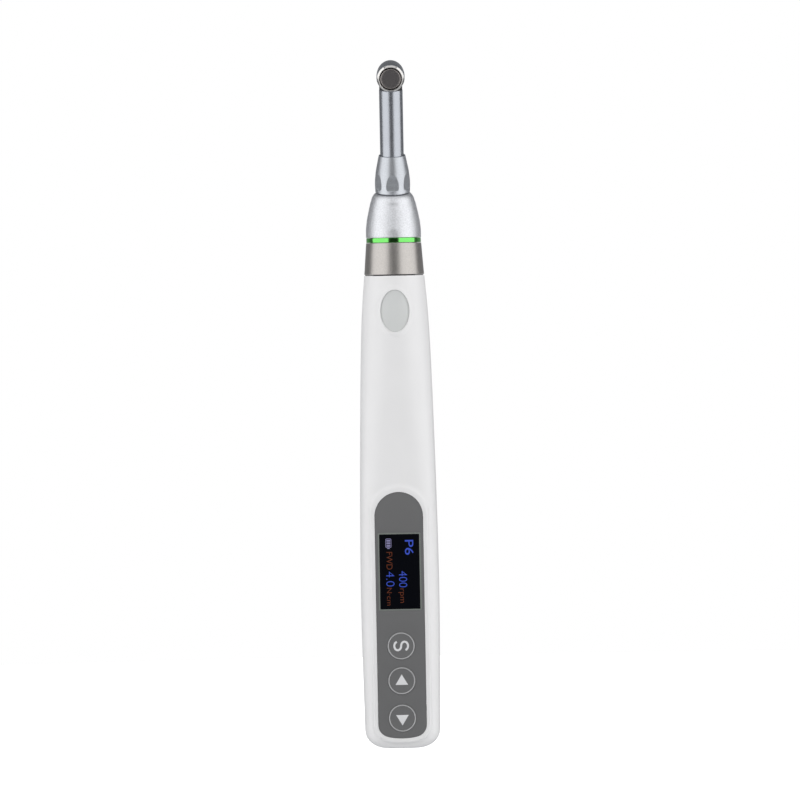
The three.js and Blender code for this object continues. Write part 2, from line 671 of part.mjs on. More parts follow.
// Handle
const { frontShell, backShell } = shells();
add(motor, "front_shell", frontShell, FINISH.shell);
add(motor, "back_shell", backShell, FINISH.shell);
add(motor, "control_panel", panelPlate(), FINISH.panel);
add(motor, "display_lens", screenBox(0, PANEL_FACE_Y + 0.05, PANEL_BACK_Y), FINISH.glass);
add(motor, "display_module", box(-6.6, 6.6, -8.4, -7.2, SCREEN.z - 13, SCREEN.z + 13), FINISH.black);
for (const place of KEYS) {
  add(motor, place.name, key(place), FINISH.panel);
  add(motor, place.name.replace("key", "switch"), keySwitch(place), FINISH.black);
}
add(motor, "power_button", powerButton(), FINISH.button);
add(motor, "switch_power", powerSwitch(), FINISH.black);
add(motor, "button_board", box(-2.4, 2.4, -5.75, -5.35, 120, 133), FINISH.board);
add(motor, "main_board", mainBoard(), FINISH.board);
add(motor, "battery_cell", batteryCell(), FINISH.cell);
add(motor, "battery_holder", batteryHolder(), FINISH.black);
const tabPlus = [[-5.5, 69.5], [-5.3, 69.5], [-5.3, 65.5], [1.2, 65.5], [1.2, 65.3], [-5.5, 65.3]];
const tabMinus = [[-5.5, 14], [-5.3, 14], [-5.3, 14.9], [1.2, 14.9], [1.2, 15.1], [-5.5, 15.1]];
add(motor, "battery_tab_plus", stripX(tabPlus, 1.5), FINISH.steel);
add(motor, "battery_tab_minus", stripX(tabMinus, 1.5), FINISH.steel);
for (const place of CONTACTS) add(motor, place.name, chargeContact(place), FINISH.gold);
for (const place of SCREWS) add(motor, place.name, screw(place), FINISH.steel);

// Motor
add(motor, "motor_can", motorCan(), FINISH.steel);
add(motor, "motor_rear_cover", motorRearCover(), FINISH.black);
add(motor, "motor_rear_bearing", tube(0.9, 2.4, 99.2, 100.6, { segments: 16 }), FINISH.steel);
add(motor, "motor_front_bearing", tube(0.9, 3.3, 136.3, 138.2, { segments: 16 }), FINISH.steel);
add(motor, "motor_flange", motorFlange(), FINISH.steel);
const ribbon = [[-5.5, 74], [-5.3, 74], [-5.3, 77.8], [1.2, 97.9], [1, 98.05], [-5.5, 77.9]];
add(motor, "motor_ribbon", stripX(ribbon, 1.4).translate(3.6, 0, 0), FINISH.brass);
add(motor, "rotor_magnet", tube(0.85, 3.6, 103, 129, { segments: 24 }), FINISH.dark);
add(motor, "motor_shaft", motorShaft(), FINISH.steel);
add(motor, "spigot_seal", spigotSeal(), FINISH.rubber);
add(motor, "collar_seal", tube(7.1, 8.45, 137.25, 137.5, { segments: 24 }), FINISH.rubber);
add(motor, "collar", collar(), FINISH.collar);

// Contra-angle: the rear, on the handle's axis
add(motor, "retaining_ring", retainingRing(), FINISH.steel);
add(motor, "colour_band", colourBand(), FINISH.green);
add(motor, "sleeve", sleeve(), FINISH.satin);
add(motor, "coupling_bush", couplingBush(), FINISH.brass);
add(motor, "gear_cover", tube(3.3, 5.95, 150, 151.9, { segments: 20 }), FINISH.steel);
add(motor, "input_bearing", tube(1.3, 3.2, 150.1, 151.8, { segments: 16 }), FINISH.steel);
add(motor, "ring_gear", ringGear(), FINISH.steel);
add(motor, "input_shaft", inputShaft(), FINISH.steel);
add(motor, "planet_carrier", carrier(), FINISH.steel);
for (let i = 0; i < PLANETS; i++) {
  const turn = (2 * Math.PI * i) / PLANETS;
  const start = Math.PI / PLANET_TEETH; // so a gap of the planet faces the sun's tooth
  const gear = spurGear(PLANET_TEETH, start).subtract(rod(0.56, 150, 160, { segments: 12 }));
  const planet = add(motor, `planet_gear_${i + 1}`, gear, FINISH.brass);
  planet.position.set(...polar(PLANET_ORBIT, turn), 0);
  planet.rotation.z = turn;
}

// Contra-angle: the neck, on its own tilted axis
const neck = new THREE.Group();
neck.position.z = BEND_Z;
neck.rotation.x = NECK_TILT;
motor.add(neck);
add(neck, "nose_ring", noseRing(), FINISH.satin);
add(neck, "head_housing", headHousing(), FINISH.satin);
add(neck, "neck_bearing_rear", tube(0.9, 2.85, 5, 6.6, { segments: 16 }), FINISH.steel);
add(neck, "neck_bearing_front", tube(0.9, 2.2, 32, 33.6, { segments: 16 }), FINISH.steel);
add(neck, "neck_shaft", neckShaft(), FINISH.steel);

// Contra-angle: the head, whose Z points out through the push button
const head = new THREE.Group();
head.position.z = HEAD_S;
head.rotation.x = Math.PI / 2;
neck.add(head);
const gearStart = -Math.PI / 2 + Math.PI / CHUCK_GEAR.teeth;
add(head, "head_cap", headCap(), FINISH.polished);
add(head, "push_button", pushButton(), FINISH.dark);
add(head, "button_spring", buttonSpring(), FINISH.steel);
add(head, "chuck_spindle", chuckSpindle(), FINISH.steel);
add(head, "chuck_gear", bevelGear(CHUCK_GEAR, gearStart, 1.58), FINISH.brass);
add(head, "file_latch", fileLatch(), FINISH.steel);
add(head, "chuck_bearing_upper", tube(1.58, 3.1, 1.9, 2.9, { segments: 20 }), FINISH.steel);
add(head, "chuck_bearing_lower", tube(1.58, 2.7, -4.2, -3, { segments: 20 }), FINISH.steel);

export default motor;
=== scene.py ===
import json
import math

import bmesh
import bpy
import numpy as np
from mathutils import Matrix, Vector, geometry


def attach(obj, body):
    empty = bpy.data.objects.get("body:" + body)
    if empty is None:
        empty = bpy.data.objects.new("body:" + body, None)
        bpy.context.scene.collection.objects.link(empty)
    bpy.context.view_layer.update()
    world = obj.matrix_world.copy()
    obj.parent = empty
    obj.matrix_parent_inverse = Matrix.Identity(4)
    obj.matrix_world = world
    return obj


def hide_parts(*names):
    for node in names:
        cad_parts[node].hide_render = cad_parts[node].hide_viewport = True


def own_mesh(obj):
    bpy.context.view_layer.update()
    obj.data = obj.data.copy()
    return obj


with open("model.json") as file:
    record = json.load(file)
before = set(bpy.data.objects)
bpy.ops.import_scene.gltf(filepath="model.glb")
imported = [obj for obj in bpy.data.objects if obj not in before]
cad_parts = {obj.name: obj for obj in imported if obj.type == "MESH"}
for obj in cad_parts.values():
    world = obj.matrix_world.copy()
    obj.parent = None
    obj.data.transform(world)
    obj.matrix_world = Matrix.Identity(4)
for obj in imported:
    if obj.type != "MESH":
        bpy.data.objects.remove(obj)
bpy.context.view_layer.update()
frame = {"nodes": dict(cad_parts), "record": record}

MM = 0.001

# ---------------------------------------------------------------- sizes shared with the CAD, in mm

HANDLE_TOP = 137.2
WALL = 1.6
BASE_THICK = 1.8
FRONT_EDGE_Y, BACK_EDGE_Y = 1.45, 1.55  # where the two shells stop, either side of the parting line
BASE_ROUND = {"width": 6.2, "depth": 2.5, "height": 5.0}
SECTION_Z = np.array([0, 8, 30, 50, 72, 90, 110, 125, 137.2])
SECTION = {
    "half": np.array([10.85, 10.95, 11.3, 11.4, 11.15, 10.8, 10.3, 9.7, 8.75]),
    "front": np.array([10.6, 10.7, 10.9, 10.95, 10.8, 10.2, 9.7, 9.3, 8.7]),
    "back": np.array([10.8, 11, 11.6, 11.8, 11.4, 10.9, 10.3, 9.7, 8.75]),
    "square_front": np.array([4.8, 4.8, 4.8, 4.8, 4.4, 3.3, 2.5, 2.2, 2]),
    "square_back": np.array([2.8, 2.8, 2.7, 2.7, 2.6, 2.4, 2.2, 2.1, 2]),
}
PANEL_HALF = 7.05
PANEL_BOTTOM = 3.0
PANEL_ARCH_Z = 67.45
PAD_FACE_Y = -11.1
PANEL_FACE_Y = -10.95
PANEL_BACK_Y = -10.1
SCREEN = {"width": 11.6, "height": 21.7, "z": 51.4}
KEY_Z = {"key_down": 8.9, "key_up": 19.75, "key_set": 29.85}
KEY_RADIUS = 3.9
BUTTON = {"half_width": 4.16, "half_height": 6.06, "z": 127.0}
SCREWS = {  # where each screw is in x and z, and the y of its seat
    "screw_lower_left": (-7.9, 11, 6.2),
    "screw_lower_right": (7.9, 11, 6.2),
    "screw_upper": (0, 82, 8.5),
}
CONTACTS = {"charge_contact_left": -3, "charge_contact_right": 3}  # their x
CONTACT_Y = 5

NECK_TILT = math.radians(12)
BEND_Z = 157
HEAD_S = 39.1  # along the neck, from the bend to the head's axis
HANDLE = Matrix.Identity(4)
NECK = Matrix.Translation((0, 0, BEND_Z)) @ Matrix.Rotation(NECK_TILT, 4, "X")
HEAD = NECK @ Matrix.Translation((0, 0, HEAD_S)) @ Matrix.Rotation(math.pi / 2, 4, "X")

# ---------------------------------------------------------------- camera, light and floor


def camera(height=0.101, distance=2.5, lens=386.5, roll=-1.07, elevation=0.8, shift_x=0.001):
    """A long lens in front, a little above the middle of the motor, turned by roll about its own axis."""
    data = bpy.data.cameras.new("camera")
    data.lens, data.sensor_width = lens, 36.0
    data.clip_start, data.clip_end = 0.1, 20
    cam = bpy.data.objects.new("camera", data)
    bpy.context.scene.collection.objects.link(cam)
    e = math.radians(elevation)
    target = Vector((shift_x, 0, height))
    cam.location = target + distance * Vector((0, -math.cos(e), math.sin(e)))
    aim = (target - cam.location).to_track_quat("-Z", "Y").to_matrix().to_4x4()
    cam.matrix_world = Matrix.Translation(cam.location) @ aim @ Matrix.Rotation(math.radians(roll), 4, "Z")
    bpy.context.scene.camera = cam


def area_light(name, location, target, size, power):
    data = bpy.data.lights.new(name, "AREA")
    data.shape = "RECTANGLE"
    data.size, data.size_y = size
    data.energy = power
    lamp = bpy.data.objects.new(name, data)
    bpy.context.scene.collection.objects.link(lamp)
    lamp.location = location
    lamp.rotation_euler = (Vector(target) - Vector(location)).to_track_quat("-Z", "Y").to_euler()
    lamp.visible_camera = False


class Graph:
    """Short calls that add shader nodes to a tree."""

    def __init__(self, tree):
        self.nodes, self.links = tree.nodes, tree.links

    def add(self, kind, **inputs):
        """A node with its inputs set or linked; an underscore in a name stands for a space."""
        node = self.nodes.new(kind)
        for name, value in inputs.items():
            self.feed(node.inputs[name.replace("_", " ")], value)
        return node

    def feed(self, socket, value):
        if isinstance(value, bpy.types.NodeSocket):
            self.links.new(value, socket)
        else:
            socket.default_value = value

    def ramp(self, value, start, end, low, high, kind="SMOOTHSTEP"):
        """A value from start to end becomes one from low to high, and is held beyond them."""
        node = self.add("ShaderNodeMapRange", Value=value, From_Min=start, From_Max=end)
        self.feed(node.inputs["To Min"], low)
        self.feed(node.inputs["To Max"], high)
        node.interpolation_type = kind
        return node.outputs[0]

    def maths(self, operation, first, second=0.0):
        node = self.add("ShaderNodeMath")
        node.operation = operation
        self.feed(node.inputs[0], first)
        self.feed(node.inputs[1], second)
        return node.outputs[0]


def room_light(graph):
    """The room's brightness by direction: dark, with a little light from in front, from below, and from
    behind, where it fades upwards."""
    direction = graph.add("ShaderNodeTexCoord").outputs["Generated"]
    split = graph.add("ShaderNodeSeparateXYZ", Vector=direction)
    y, z = split.outputs["Y"], split.outputs["Z"]
    behind = graph.ramp(y, 0.4, 0.8, 0.0, 0.16)
    behind = graph.maths("MULTIPLY", behind, graph.ramp(z, 0.1, 0.4, 1.0, 0.25))
    below = graph.ramp(z, -0.7, -0.35, 0.42, 0.0)
    front = graph.ramp(y, -0.97, -0.85, 0.03, 0.16)
    return graph.maths("ADD", graph.maths("ADD", behind, below), front)


def studio():
    """The background, lamps and floor: the camera sees white paper, and the object the room's light."""
    scene = bpy.context.scene
    scene.view_settings.view_transform = "Standard"
    scene.view_settings.look = "None"
    world = bpy.data.worlds.new("studio")
    scene.world = world
    world.use_nodes = True
    world.node_tree.nodes.clear()
    graph = Graph(world.node_tree)
    room = graph.add("ShaderNodeBackground", Color=(0.95, 0.97, 1.0, 1), Strength=room_light(graph))
    paper = graph.add("ShaderNodeBackground", Color=(1, 1, 1, 1), Strength=1.0)
    camera_ray = graph.add("ShaderNodeLightPath").outputs["Is Camera Ray"]
    mix = graph.add("ShaderNodeMixShader", Fac=camera_ray)
    graph.links.new(room.outputs[0], mix.inputs[1])
    graph.links.new(paper.outputs[0], mix.inputs[2])
    graph.add("ShaderNodeOutputWorld", Surface=mix.outputs[0])
    # a wall of light to each side, open in front where the camera stands, with a soft box above it
    # and another overhead
    for side in (-1, 1):
        area_light("light_side", (side * 0.8, -0.95, 0.2), (0, -0.95, 0.2), (2.15, 2.2), 20.0)
    area_light("light_above", (0, -0.98, 0.8), (0, 0, 0.12), (1.0, 0.5), 1.9)
    area_light("light_overhead", (0, -0.3, 1.2), (0, 0, 0.1), (1.2, 0.6), 1.6)

    me = bpy.data.meshes.new("floor")
    bm = bmesh.new()
    bmesh.ops.create_circle(bm, cap_ends=True, segments=96, radius=0.6)
    bm.to_mesh(me)
    bm.free()
    floor = bpy.data.objects.new("floor", me)
    scene.collection.objects.link(floor)
    floor.location.z = -0.00002
    floor.visible_glossy = False
    floor.visible_diffuse = False
    mat = bpy.data.materials.new("floor")
    mat.use_nodes = True
    shader = mat.node_tree.nodes["Principled BSDF"]
    shader.inputs["Base Color"].default_value = (0.9, 0.9, 0.9, 1)
    shader.inputs["Roughness"].default_value = 0.9
    shader.inputs["Specular IOR Level"].default_value = 0.0
    shader.inputs["Emission Color"].default_value = (1, 1, 1, 1)
    shader.inputs["Emission Strength"].default_value = 1.0
    me.materials.append(mat)


# ---------------------------------------------------------------- materials


FINISH = {}  # the materials by name
GRAIN_DEPTH = 0.00001  # metres


class Surface(Graph):
    """A Principled material under construction."""

    def __init__(self, name):
        FINISH[name] = bpy.data.materials.new(name)
        FINISH[name].use_nodes = True
        super().__init__(FINISH[name].node_tree)
        self.shader = self.nodes["Principled BSDF"]
        self.where = self.add("ShaderNodeTexCoord").outputs["Object"]

    def set(self, **values):
        """Sets or links the shader's own sockets."""
        for socket, value in values.items():
            self.feed(self.shader.inputs[socket.replace("_", " ")], value)
        return self

    def noise(self, scale, detail):
        node = self.add("ShaderNodeTexNoise", Vector=self.where, Scale=scale, Detail=detail, Roughness=0.55)
        return node.outputs["Fac"]

    def spread(self, noise, low, high):
        """The middle part of a noise, spread from low to high."""
        return self.ramp(noise, 0.3, 0.7, low, high, "LINEAR")

    def colour(self, value, first, second):
        node = self.nodes.new("ShaderNodeMix")
        node.data_type = "RGBA"
        node.inputs["A"].default_value = (*first, 1)
        node.inputs["B"].default_value = (*second, 1)
        self.feed(node.inputs["Factor"], value)
        return self.set(Base_Color=node.outputs["Result"])

    def bump(self, height, strength):
        node = self.add("ShaderNodeBump", Strength=strength, Distance=GRAIN_DEPTH, Height=height)
        return self.set(Normal=node.outputs[0])


def shade(colour, by):
    return tuple(min(1.0, c * by) for c in colour)


def metal(name, colour, rough, grain=4200.0, bump=0.25, metallic=1.0, vary=0.05, fleck=0.0):
    """fleck is how far the fine grain lightens and darkens the metal, besides its slow changes of tone."""
    s = Surface(name).set(Metallic=metallic)
    fine = s.noise(grain, 2.0)
    tone = s.noise(grain, 2.0) if fleck else s.noise(140.0, 3.0)
    s.colour(s.spread(tone, 0, 1), shade(colour, 0.97 - fleck), shade(colour, 1.03 + fleck))
    s.set(Roughness=s.spread(fine, rough - vary, rough + vary))
    s.bump(fine, bump)


def plastic(name, colour, rough, grain=2600.0, bump=0.15, vary=0.04):
    s = Surface(name).set(Metallic=0.0)
    fine = s.noise(grain, 3.0)
    broad = s.noise(60.0, 2.0)
    s.colour(s.spread(broad, 0, 1), shade(colour, 0.985), shade(colour, 1.015))
    s.set(Roughness=s.spread(fine, rough - vary, rough + vary))
    s.bump(fine, bump)


def glowing(name, colour, strength):
    """A lit part of the screen."""
    s = Surface(name).set(Base_Color=(0.01, 0.01, 0.01, 1), Roughness=0.3)
    s.set(Emission_Color=(*colour, 1), Emission_Strength=strength)


plastic("white_shell", (0.84, 0.835, 0.837), 0.4, bump=0.08)
plastic("grey_panel", (0.14, 0.1405, 0.142), 0.5, grain=5200, bump=0.3)
plastic("light_grey_button", (0.64, 0.652, 0.645), 0.62, grain=3800, bump=0.3)
plastic("black_window", (0.003, 0.0035, 0.006), 0.09, bump=0.0, vary=0.02)
metal("satin_silver", (0.42, 0.438, 0.472), 0.3, bump=0.2)
metal("blasted_silver", (0.71, 0.72, 0.745), 0.49, grain=2600, bump=1.0, fleck=0.1)
metal("clamp_silver", (0.53, 0.55, 0.58), 0.42, grain=3000, bump=0.6, fleck=0.07)
metal("polished_silver", (0.66, 0.645, 0.625), 0.16, bump=0.05, vary=0.02)
metal("champagne_metal", (0.465, 0.443, 0.422), 0.36, grain=3000, bump=0.5, fleck=0.06)
metal("dark_metal", (0.14, 0.13, 0.13), 0.4, metallic=0.7, fleck=0.08)
metal("green_ring", (0.17, 0.62, 0.14), 0.13, bump=0.1, vary=0.03)
metal("rim_metal", (0.34, 0.31, 0.295), 0.3, bump=0.02)
metal("steel", (0.52, 0.53, 0.55), 0.28)
metal("brass", (0.62, 0.47, 0.2), 0.3)
metal("gold_contact", (0.85, 0.62, 0.22), 0.22)
plastic("black_rubber", (0.018, 0.018, 0.018), 0.75)
plastic("circuit_board", (0.02, 0.12, 0.05), 0.5, grain=900)
plastic("black_plastic", (0.02, 0.02, 0.022), 0.5)
plastic("battery", (0.05, 0.17, 0.42), 0.4, grain=700)
plastic("silver_print", (0.42, 0.42, 0.425), 0.4)
plastic("white_print", (0.74, 0.74, 0.75), 0.5)
plastic("screen_edge", (0.2, 0.22, 0.2), 0.35)
glowing("readout_blue", (0.07, 0.15, 1.0), 0.48)
glowing("readout_orange", (1.0, 0.2, 0.045), 0.1)
glowing("readout_violet", (0.6, 0.56, 1.0), 0.33)

# ---------------------------------------------------------------- meshes


def piece(name, points, faces, body, finish, replaces=(), matrix=HANDLE, slot=None, sharp=None):
    """A mesh object from points in mm, riding on a body and standing for CAD nodes."""
    points = np.asarray(points, float)
    me = bpy.data.meshes.new(name)
    placed = points @ np.array(matrix.to_3x3()).T + np.array(matrix.translation)
    me.from_pydata((placed * MM).tolist(), [], [list(map(int, f)) for f in faces])
    bm = bmesh.new()
    bm.from_mesh(me)
    bmesh.ops.remove_doubles(bm, verts=bm.verts, dist=1e-8)
    bmesh.ops.recalc_face_normals(bm, faces=bm.faces)
    bm.to_mesh(me)
    bm.free()
    me.polygons.foreach_set("use_smooth", [True] * len(me.polygons))
    if sharp:
        me.set_sharp_from_angle(angle=math.radians(sharp))
    me.materials.append(FINISH[finish])
    obj = bpy.data.objects.new(name, me)
    bpy.context.scene.collection.objects.link(obj)
    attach(obj, body)
    if replaces:
        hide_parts(*replaces)
    return obj


def rounded(corners, closed=False, steps=5):
    """The profile through (radius, height, fillet) corners, with each corner rounded by its fillet."""
    count = len(corners)
    points = []
    for i, (r, z, fillet) in enumerate(corners):
        p = np.array([r, z], float)
        if not fillet or (not closed and i in (0, count - 1)):
            points.append(p)
            continue
        to_a = np.array(corners[i - 1][:2], float) - p
        to_b = np.array(corners[(i + 1) % count][:2], float) - p
        len_a, len_b = np.linalg.norm(to_a), np.linalg.norm(to_b)
        u, v = to_a / len_a, to_b / len_b
        half = math.acos(np.clip(u @ v, -1, 1)) / 2
        back = min(fillet / math.tan(half), 0.45 * len_a, 0.45 * len_b)
        radius = back * math.tan(half)
        centre = p + (u + v) / np.linalg.norm(u + v) * radius / math.sin(half)
        start, end = p + u * back - centre, p + v * back - centre
        a0, a1 = math.atan2(start[1], start[0]), math.atan2(end[1], end[0])
        turn = (a1 - a0 + math.pi) % (2 * math.pi) - math.pi
        points.append(p + u * (back + min(0.04, 0.2 * (len_a - back))))
        for k in range(steps + 1):
            angle = a0 + turn * k / steps
            points.append(centre + radius * np.array([math.cos(angle), math.sin(angle)]))
        points.append(p + v * (back + min(0.04, 0.2 * (len_b - back))))
    return points


def skin(rows, closed=False):
    """Points and faces through rows of equal rings; a row of one point closes an end."""
    points, starts = [], []
    for row in rows:
        starts.append(len(points))
        points.extend(row)
    sizes = [len(row) for row in rows]
    faces = []
    pairs = list(zip(range(len(rows) - 1), range(1, len(rows))))
    if closed:
        pairs.append((len(rows) - 1, 0))
    for a, b in pairs:
        count = max(sizes[a], sizes[b])
        for i in range(count):
            j = (i + 1) % count
            if sizes[a] == 1:
                faces.append((starts[a], starts[b] + j, starts[b] + i))
            elif sizes[b] == 1:
                faces.append((starts[a] + i, starts[a] + j, starts[b]))
            else:
                faces.append((starts[a] + i, starts[a] + j, starts[b] + j, starts[b] + i))
    return np.array(points, float), faces


def ring(radius, height, segments):
    angles = 2 * np.pi * np.arange(segments) / segments
    radius = np.broadcast_to(radius, segments)
    height = np.broadcast_to(height, segments)
    return np.stack([radius * np.cos(angles), radius * np.sin(angles), height], 1)


def lathe_rows(profile, segments):
    return [np.array([[0, 0, z]]) if r < 1e-6 else ring(r, z, segments) for r, z in profile]


def lathe(name, corners, body, finish, matrix=HANDLE, segments=128, closed=False, **more):
    points, faces = skin(lathe_rows(rounded(corners, closed), segments), closed)
    return piece(name, points, faces, body, finish, matrix=matrix, **more)


def bead(radius, height, across, along):
    """A closed oval profile for lathe, with its middle at (radius, height)."""
    angles = np.radians(np.arange(0, 360, 30))
    return [(radius + across * math.cos(a), height + along * math.sin(a), 0) for a in angles]


def outward(loop):
    """Unit normals of a closed anticlockwise loop of 2-D points."""
    step = np.roll(loop, -1, 0) - np.roll(loop, 1, 0)
    normal = np.stack([step[:, 1], -step[:, 0]], 1)
    return normal / np.linalg.norm(normal, axis=1)[:, None]


def inside(points, loop):
    """Which 2-D points lie inside a closed loop."""
    a, b = loop, np.roll(loop, -1, 0)
    x, y = points[:, None, 0], points[:, None, 1]
    crosses = (a[:, 1] > y) != (b[:, 1] > y)
    with np.errstate(divide="ignore", invalid="ignore"):
        at = a[:, 0] + (y - a[:, 1]) * (b[:, 0] - a[:, 0]) / (b[:, 1] - a[:, 1])
    return (np.where(crosses, x < at, False).sum(1) % 2).astype(bool)


def triangulate(points, loops, outline=None, holes=()):
    """Triangles over 2-D points that keep the loops' edges, inside outline and outside the holes."""
    edges = [(int(a), int(b)) for loop in loops for a, b in zip(loop, np.roll(loop, -1))]
    out = geometry.delaunay_2d_cdt([Vector(p) for p in points], edges, [], 0, 1e-6)
    source = [o[0] if o else -1 for o in out[3]]
    faces = np.array([[source[i] for i in f] for f in out[2] if len(f) == 3])
    middle = np.asarray(points)[faces].mean(1)
    keep = np.ones(len(faces), bool) if outline is None else inside(middle, outline)
    for hole in holes:
        keep &= ~inside(middle, hole)
    return faces[keep]


def plate(name, outline, body, finish, front, back, bevel=0.06, holes=(), **more):
    """A flat plate in X and Z from y = front, where its edges are bevelled, to y = back."""
    loops = [np.asarray(outline, float)] + [np.asarray(h, float)[::-1] for h in holes]
    steps = 3
    levels = []
    for k in range(steps + 1):
        angle = math.pi / 2 * k / steps
        depth = math.copysign(bevel * (1 - math.cos(angle)), back - front)
        levels.append((bevel * (1 - math.sin(angle)), front + depth))
    levels.append((0.0, back))
    rows, sizes = [], [len(loop) for loop in loops]
    for inset, y in levels:
        for loop in loops:
            flat = loop - outward(loop) * inset
            rows.append(np.stack([flat[:, 0], np.full(len(flat), y), flat[:, 1]], 1))
    points = np.concatenate(rows)
    total = sum(sizes)
    faces = []
    for level in range(len(levels) - 1):
        start = 0
        for size in sizes:
            for i in range(size):
                a, b = level * total + start + i, level * total + start + (i + 1) % size
                faces.append((a, b, b + total, a + total))
            start += size
    starts = np.cumsum([0] + sizes)
    for level in (0, len(levels) - 1):
        flat = points[level * total : (level + 1) * total][:, [0, 2]]
        index = [np.arange(starts[i], starts[i + 1]) for i in range(len(sizes))]
        inner = triangulate(flat, index, flat[index[0]], [flat[i] for i in index[1:]])
        faces.extend((inner + level * total).tolist())
    return piece(name, points, faces, body, finish, sharp=35, **more)


def circle(x, z, radius, count=96):
    angles = 2 * np.pi * np.arange(count) / count
    return np.stack([x + radius * np.cos(angles), z + radius * np.sin(angles)], 1)


def ellipse(x, z, half_x, half_z, count=128):
    angles = 2 * np.pi * np.arange(count) / count
    return np.stack([x + half_x * np.cos(angles), z + half_z * np.sin(angles)], 1)


def rectangle(x0, x1, z0, z1, corner=0.15, steps=4):
    points = []
    for x, z, start in ((x1, z0, -90), (x1, z1, 0), (x0, z1, 90), (x0, z0, 180)):
        cx = x1 - corner if x == x1 else x0 + corner
        cz = z1 - corner if z == z1 else z0 + corner
        for k in range(steps + 1):
            angle = math.radians(start + 90 * k / steps)
            points.append((cx + corner * math.cos(angle), cz + corner * math.sin(angle)))
    return np.array(points)


def panel_outline(step=0.7):
    """The control panel's outline, anticlockwise: a half-round top and a shallow rounded bottom."""

    def bend(a, b, c, count=12):
        t = np.arange(count)[:, None] / count
        return (1 - t) ** 2 * np.array(a) + 2 * t * (1 - t) * np.array(b) + t**2 * np.array(c)

    half, low = PANEL_HALF, PANEL_BOTTOM
    right = [
        bend((0, low), (half * 0.36, low), (half * 0.62, low + 0.5)),
        bend((half * 0.62, low + 0.5), (half, low + 1.4), (half, low + 4.2)),
    ]
    sides = np.arange(low + 4.2, PANEL_ARCH_Z, step)
    right.append(np.stack([np.full(len(sides), half), sides], 1))
    arch = np.radians(np.arange(0, 90, 3.0))
    right.append(np.stack([half * np.cos(arch), PANEL_ARCH_Z + half * np.sin(arch)], 1))
    right = np.concatenate(right)
    left = right[1:][::-1] * [-1, 1]
    return np.concatenate([right, [[0, PANEL_ARCH_Z + half]], left])


# ---------------------------------------------------------------- the handle's shape


def section(key, z):
    """A section value at heights z, by the CAD's own smooth curve through SECTION."""
    z = np.clip(np.asarray(z, float), 0, HANDLE_TOP)
    values = SECTION[key]
    last = len(SECTION_Z) - 1
    low, high = np.maximum(np.arange(last + 1) - 1, 0), np.minimum(np.arange(last + 1) + 1, last)
    slopes = (values[high] - values[low]) / (SECTION_Z[high] - SECTION_Z[low])
    i = np.clip(np.searchsorted(SECTION_Z, z, side="left") - 1, 0, last - 1)
    span = SECTION_Z[i + 1] - SECTION_Z[i]
    t = (z - SECTION_Z[i]) / span
    return (
        (2 * t**3 - 3 * t**2 + 1) * values[i]
        + (t**3 - 2 * t**2 + t) * slopes[i] * span
        + (3 * t**2 - 2 * t**3) * values[i + 1]
        + (t**3 - t**2) * slopes[i + 1] * span
    )


def round_in(width, z):
    drop = np.clip(1 - np.asarray(z, float) / BASE_ROUND["height"], 0, 1)
    return width * (1 - np.sqrt(1 - drop**2))


def half_section(side, z, inset=0.0):
    """For each height, points from the middle of the front (or back) face round to the parting line,
    with the share of the way that each has come."""
    z = np.atleast_1d(np.asarray(z, float))
    low = np.maximum(0, z - inset)
    half = section("half", z) - inset - round_in(BASE_ROUND["width"], low)
    deep = {k: section(k, z) - inset - round_in(BASE_ROUND["depth"], low) for k in ("front", "back")}
    square = {k: section(f"square_{k}", z) for k in ("front", "back")}
    edge = FRONT_EDGE_Y if side == "front" else BACK_EDGE_Y
    sign = -1 if side == "front" else 1
    angles = np.radians(np.linspace(90 * sign, -35 * sign if side == "front" else 2.0, 181))
    x = np.zeros((len(z), len(angles)))
    y = np.zeros_like(x)
    for i, angle in enumerate(angles):
        c, s = math.cos(angle), math.sin(angle)
        k = "back" if s > 0 else "front"
        reach = ((np.abs(c) / half) ** square[k] + (np.abs(s) / deep[k]) ** square[k]) ** (-1 / square[k])
        x[:, i], y[:, i] = reach * c, reach * s
    lengths = np.concatenate([np.zeros((len(z), 1)), np.hypot(np.diff(x), np.diff(y)).cumsum(1)], 1)
    total = np.array([np.interp(edge * -sign, -sign * yy, ll) for yy, ll in zip(y, lengths)])
    return x, y, lengths / total[:, None]


def on_section(side, z, share, inset=0.0):
    """Points of the handle's surface at heights z and shares of the way round, from -1 to 1."""
    x, y, way = half_section(side, z, inset)
    size = np.abs(share)
    px = np.array([np.interp(s, w, row) for s, w, row in zip(size, way, x)])
    py = np.array([np.interp(s, w, row) for s, w, row in zip(size, way, y)])
    return px * np.sign(share), py


def share_at(side, z, x_at):
    """The share of the way round at which the surface passes x_at."""
    x, _, way = half_section(side, z)
    widest = x.argmax(1)
    found = [
        np.interp(abs(t), row[: w + 1], s[: w + 1]) for t, row, s, w in zip(x_at, x, way, widest)
    ]
    return np.array(found) * np.sign(x_at)


def face_y(side, x, z):
    """The y of the handle's surface in front of (x, z)."""
    x, z = np.broadcast_arrays(np.asarray(x, float), np.asarray(z, float))
    half = section("half", z) - round_in(BASE_ROUND["width"], z)
    deep = section(side, z) - round_in(BASE_ROUND["depth"], z)
    square = section(f"square_{side}", z)
    rise = np.clip(1 - (np.abs(x) / half) ** square, 0, 1) ** (1 / square)
    return deep * rise * (-1 if side == "front" else 1)


def distance_to(points, loop):
    """Distance of 2-D points from a closed loop, negative inside it."""
    a, b = loop, np.roll(loop, -1, 0)
    along = b - a
    squared = (along**2).sum(1)
    best = np.full(len(points), 1e9)
    for start in range(0, len(points), 2000):
        p = points[start : start + 2000, None]
        t = np.clip(((p - a) * along).sum(2) / squared, 0, 1)
        gap = np.linalg.norm(p - a - t[..., None] * along, axis=2)
        best[start : start + 2000] = gap.min(1)
    return np.where(inside(points, loop), -best, best)


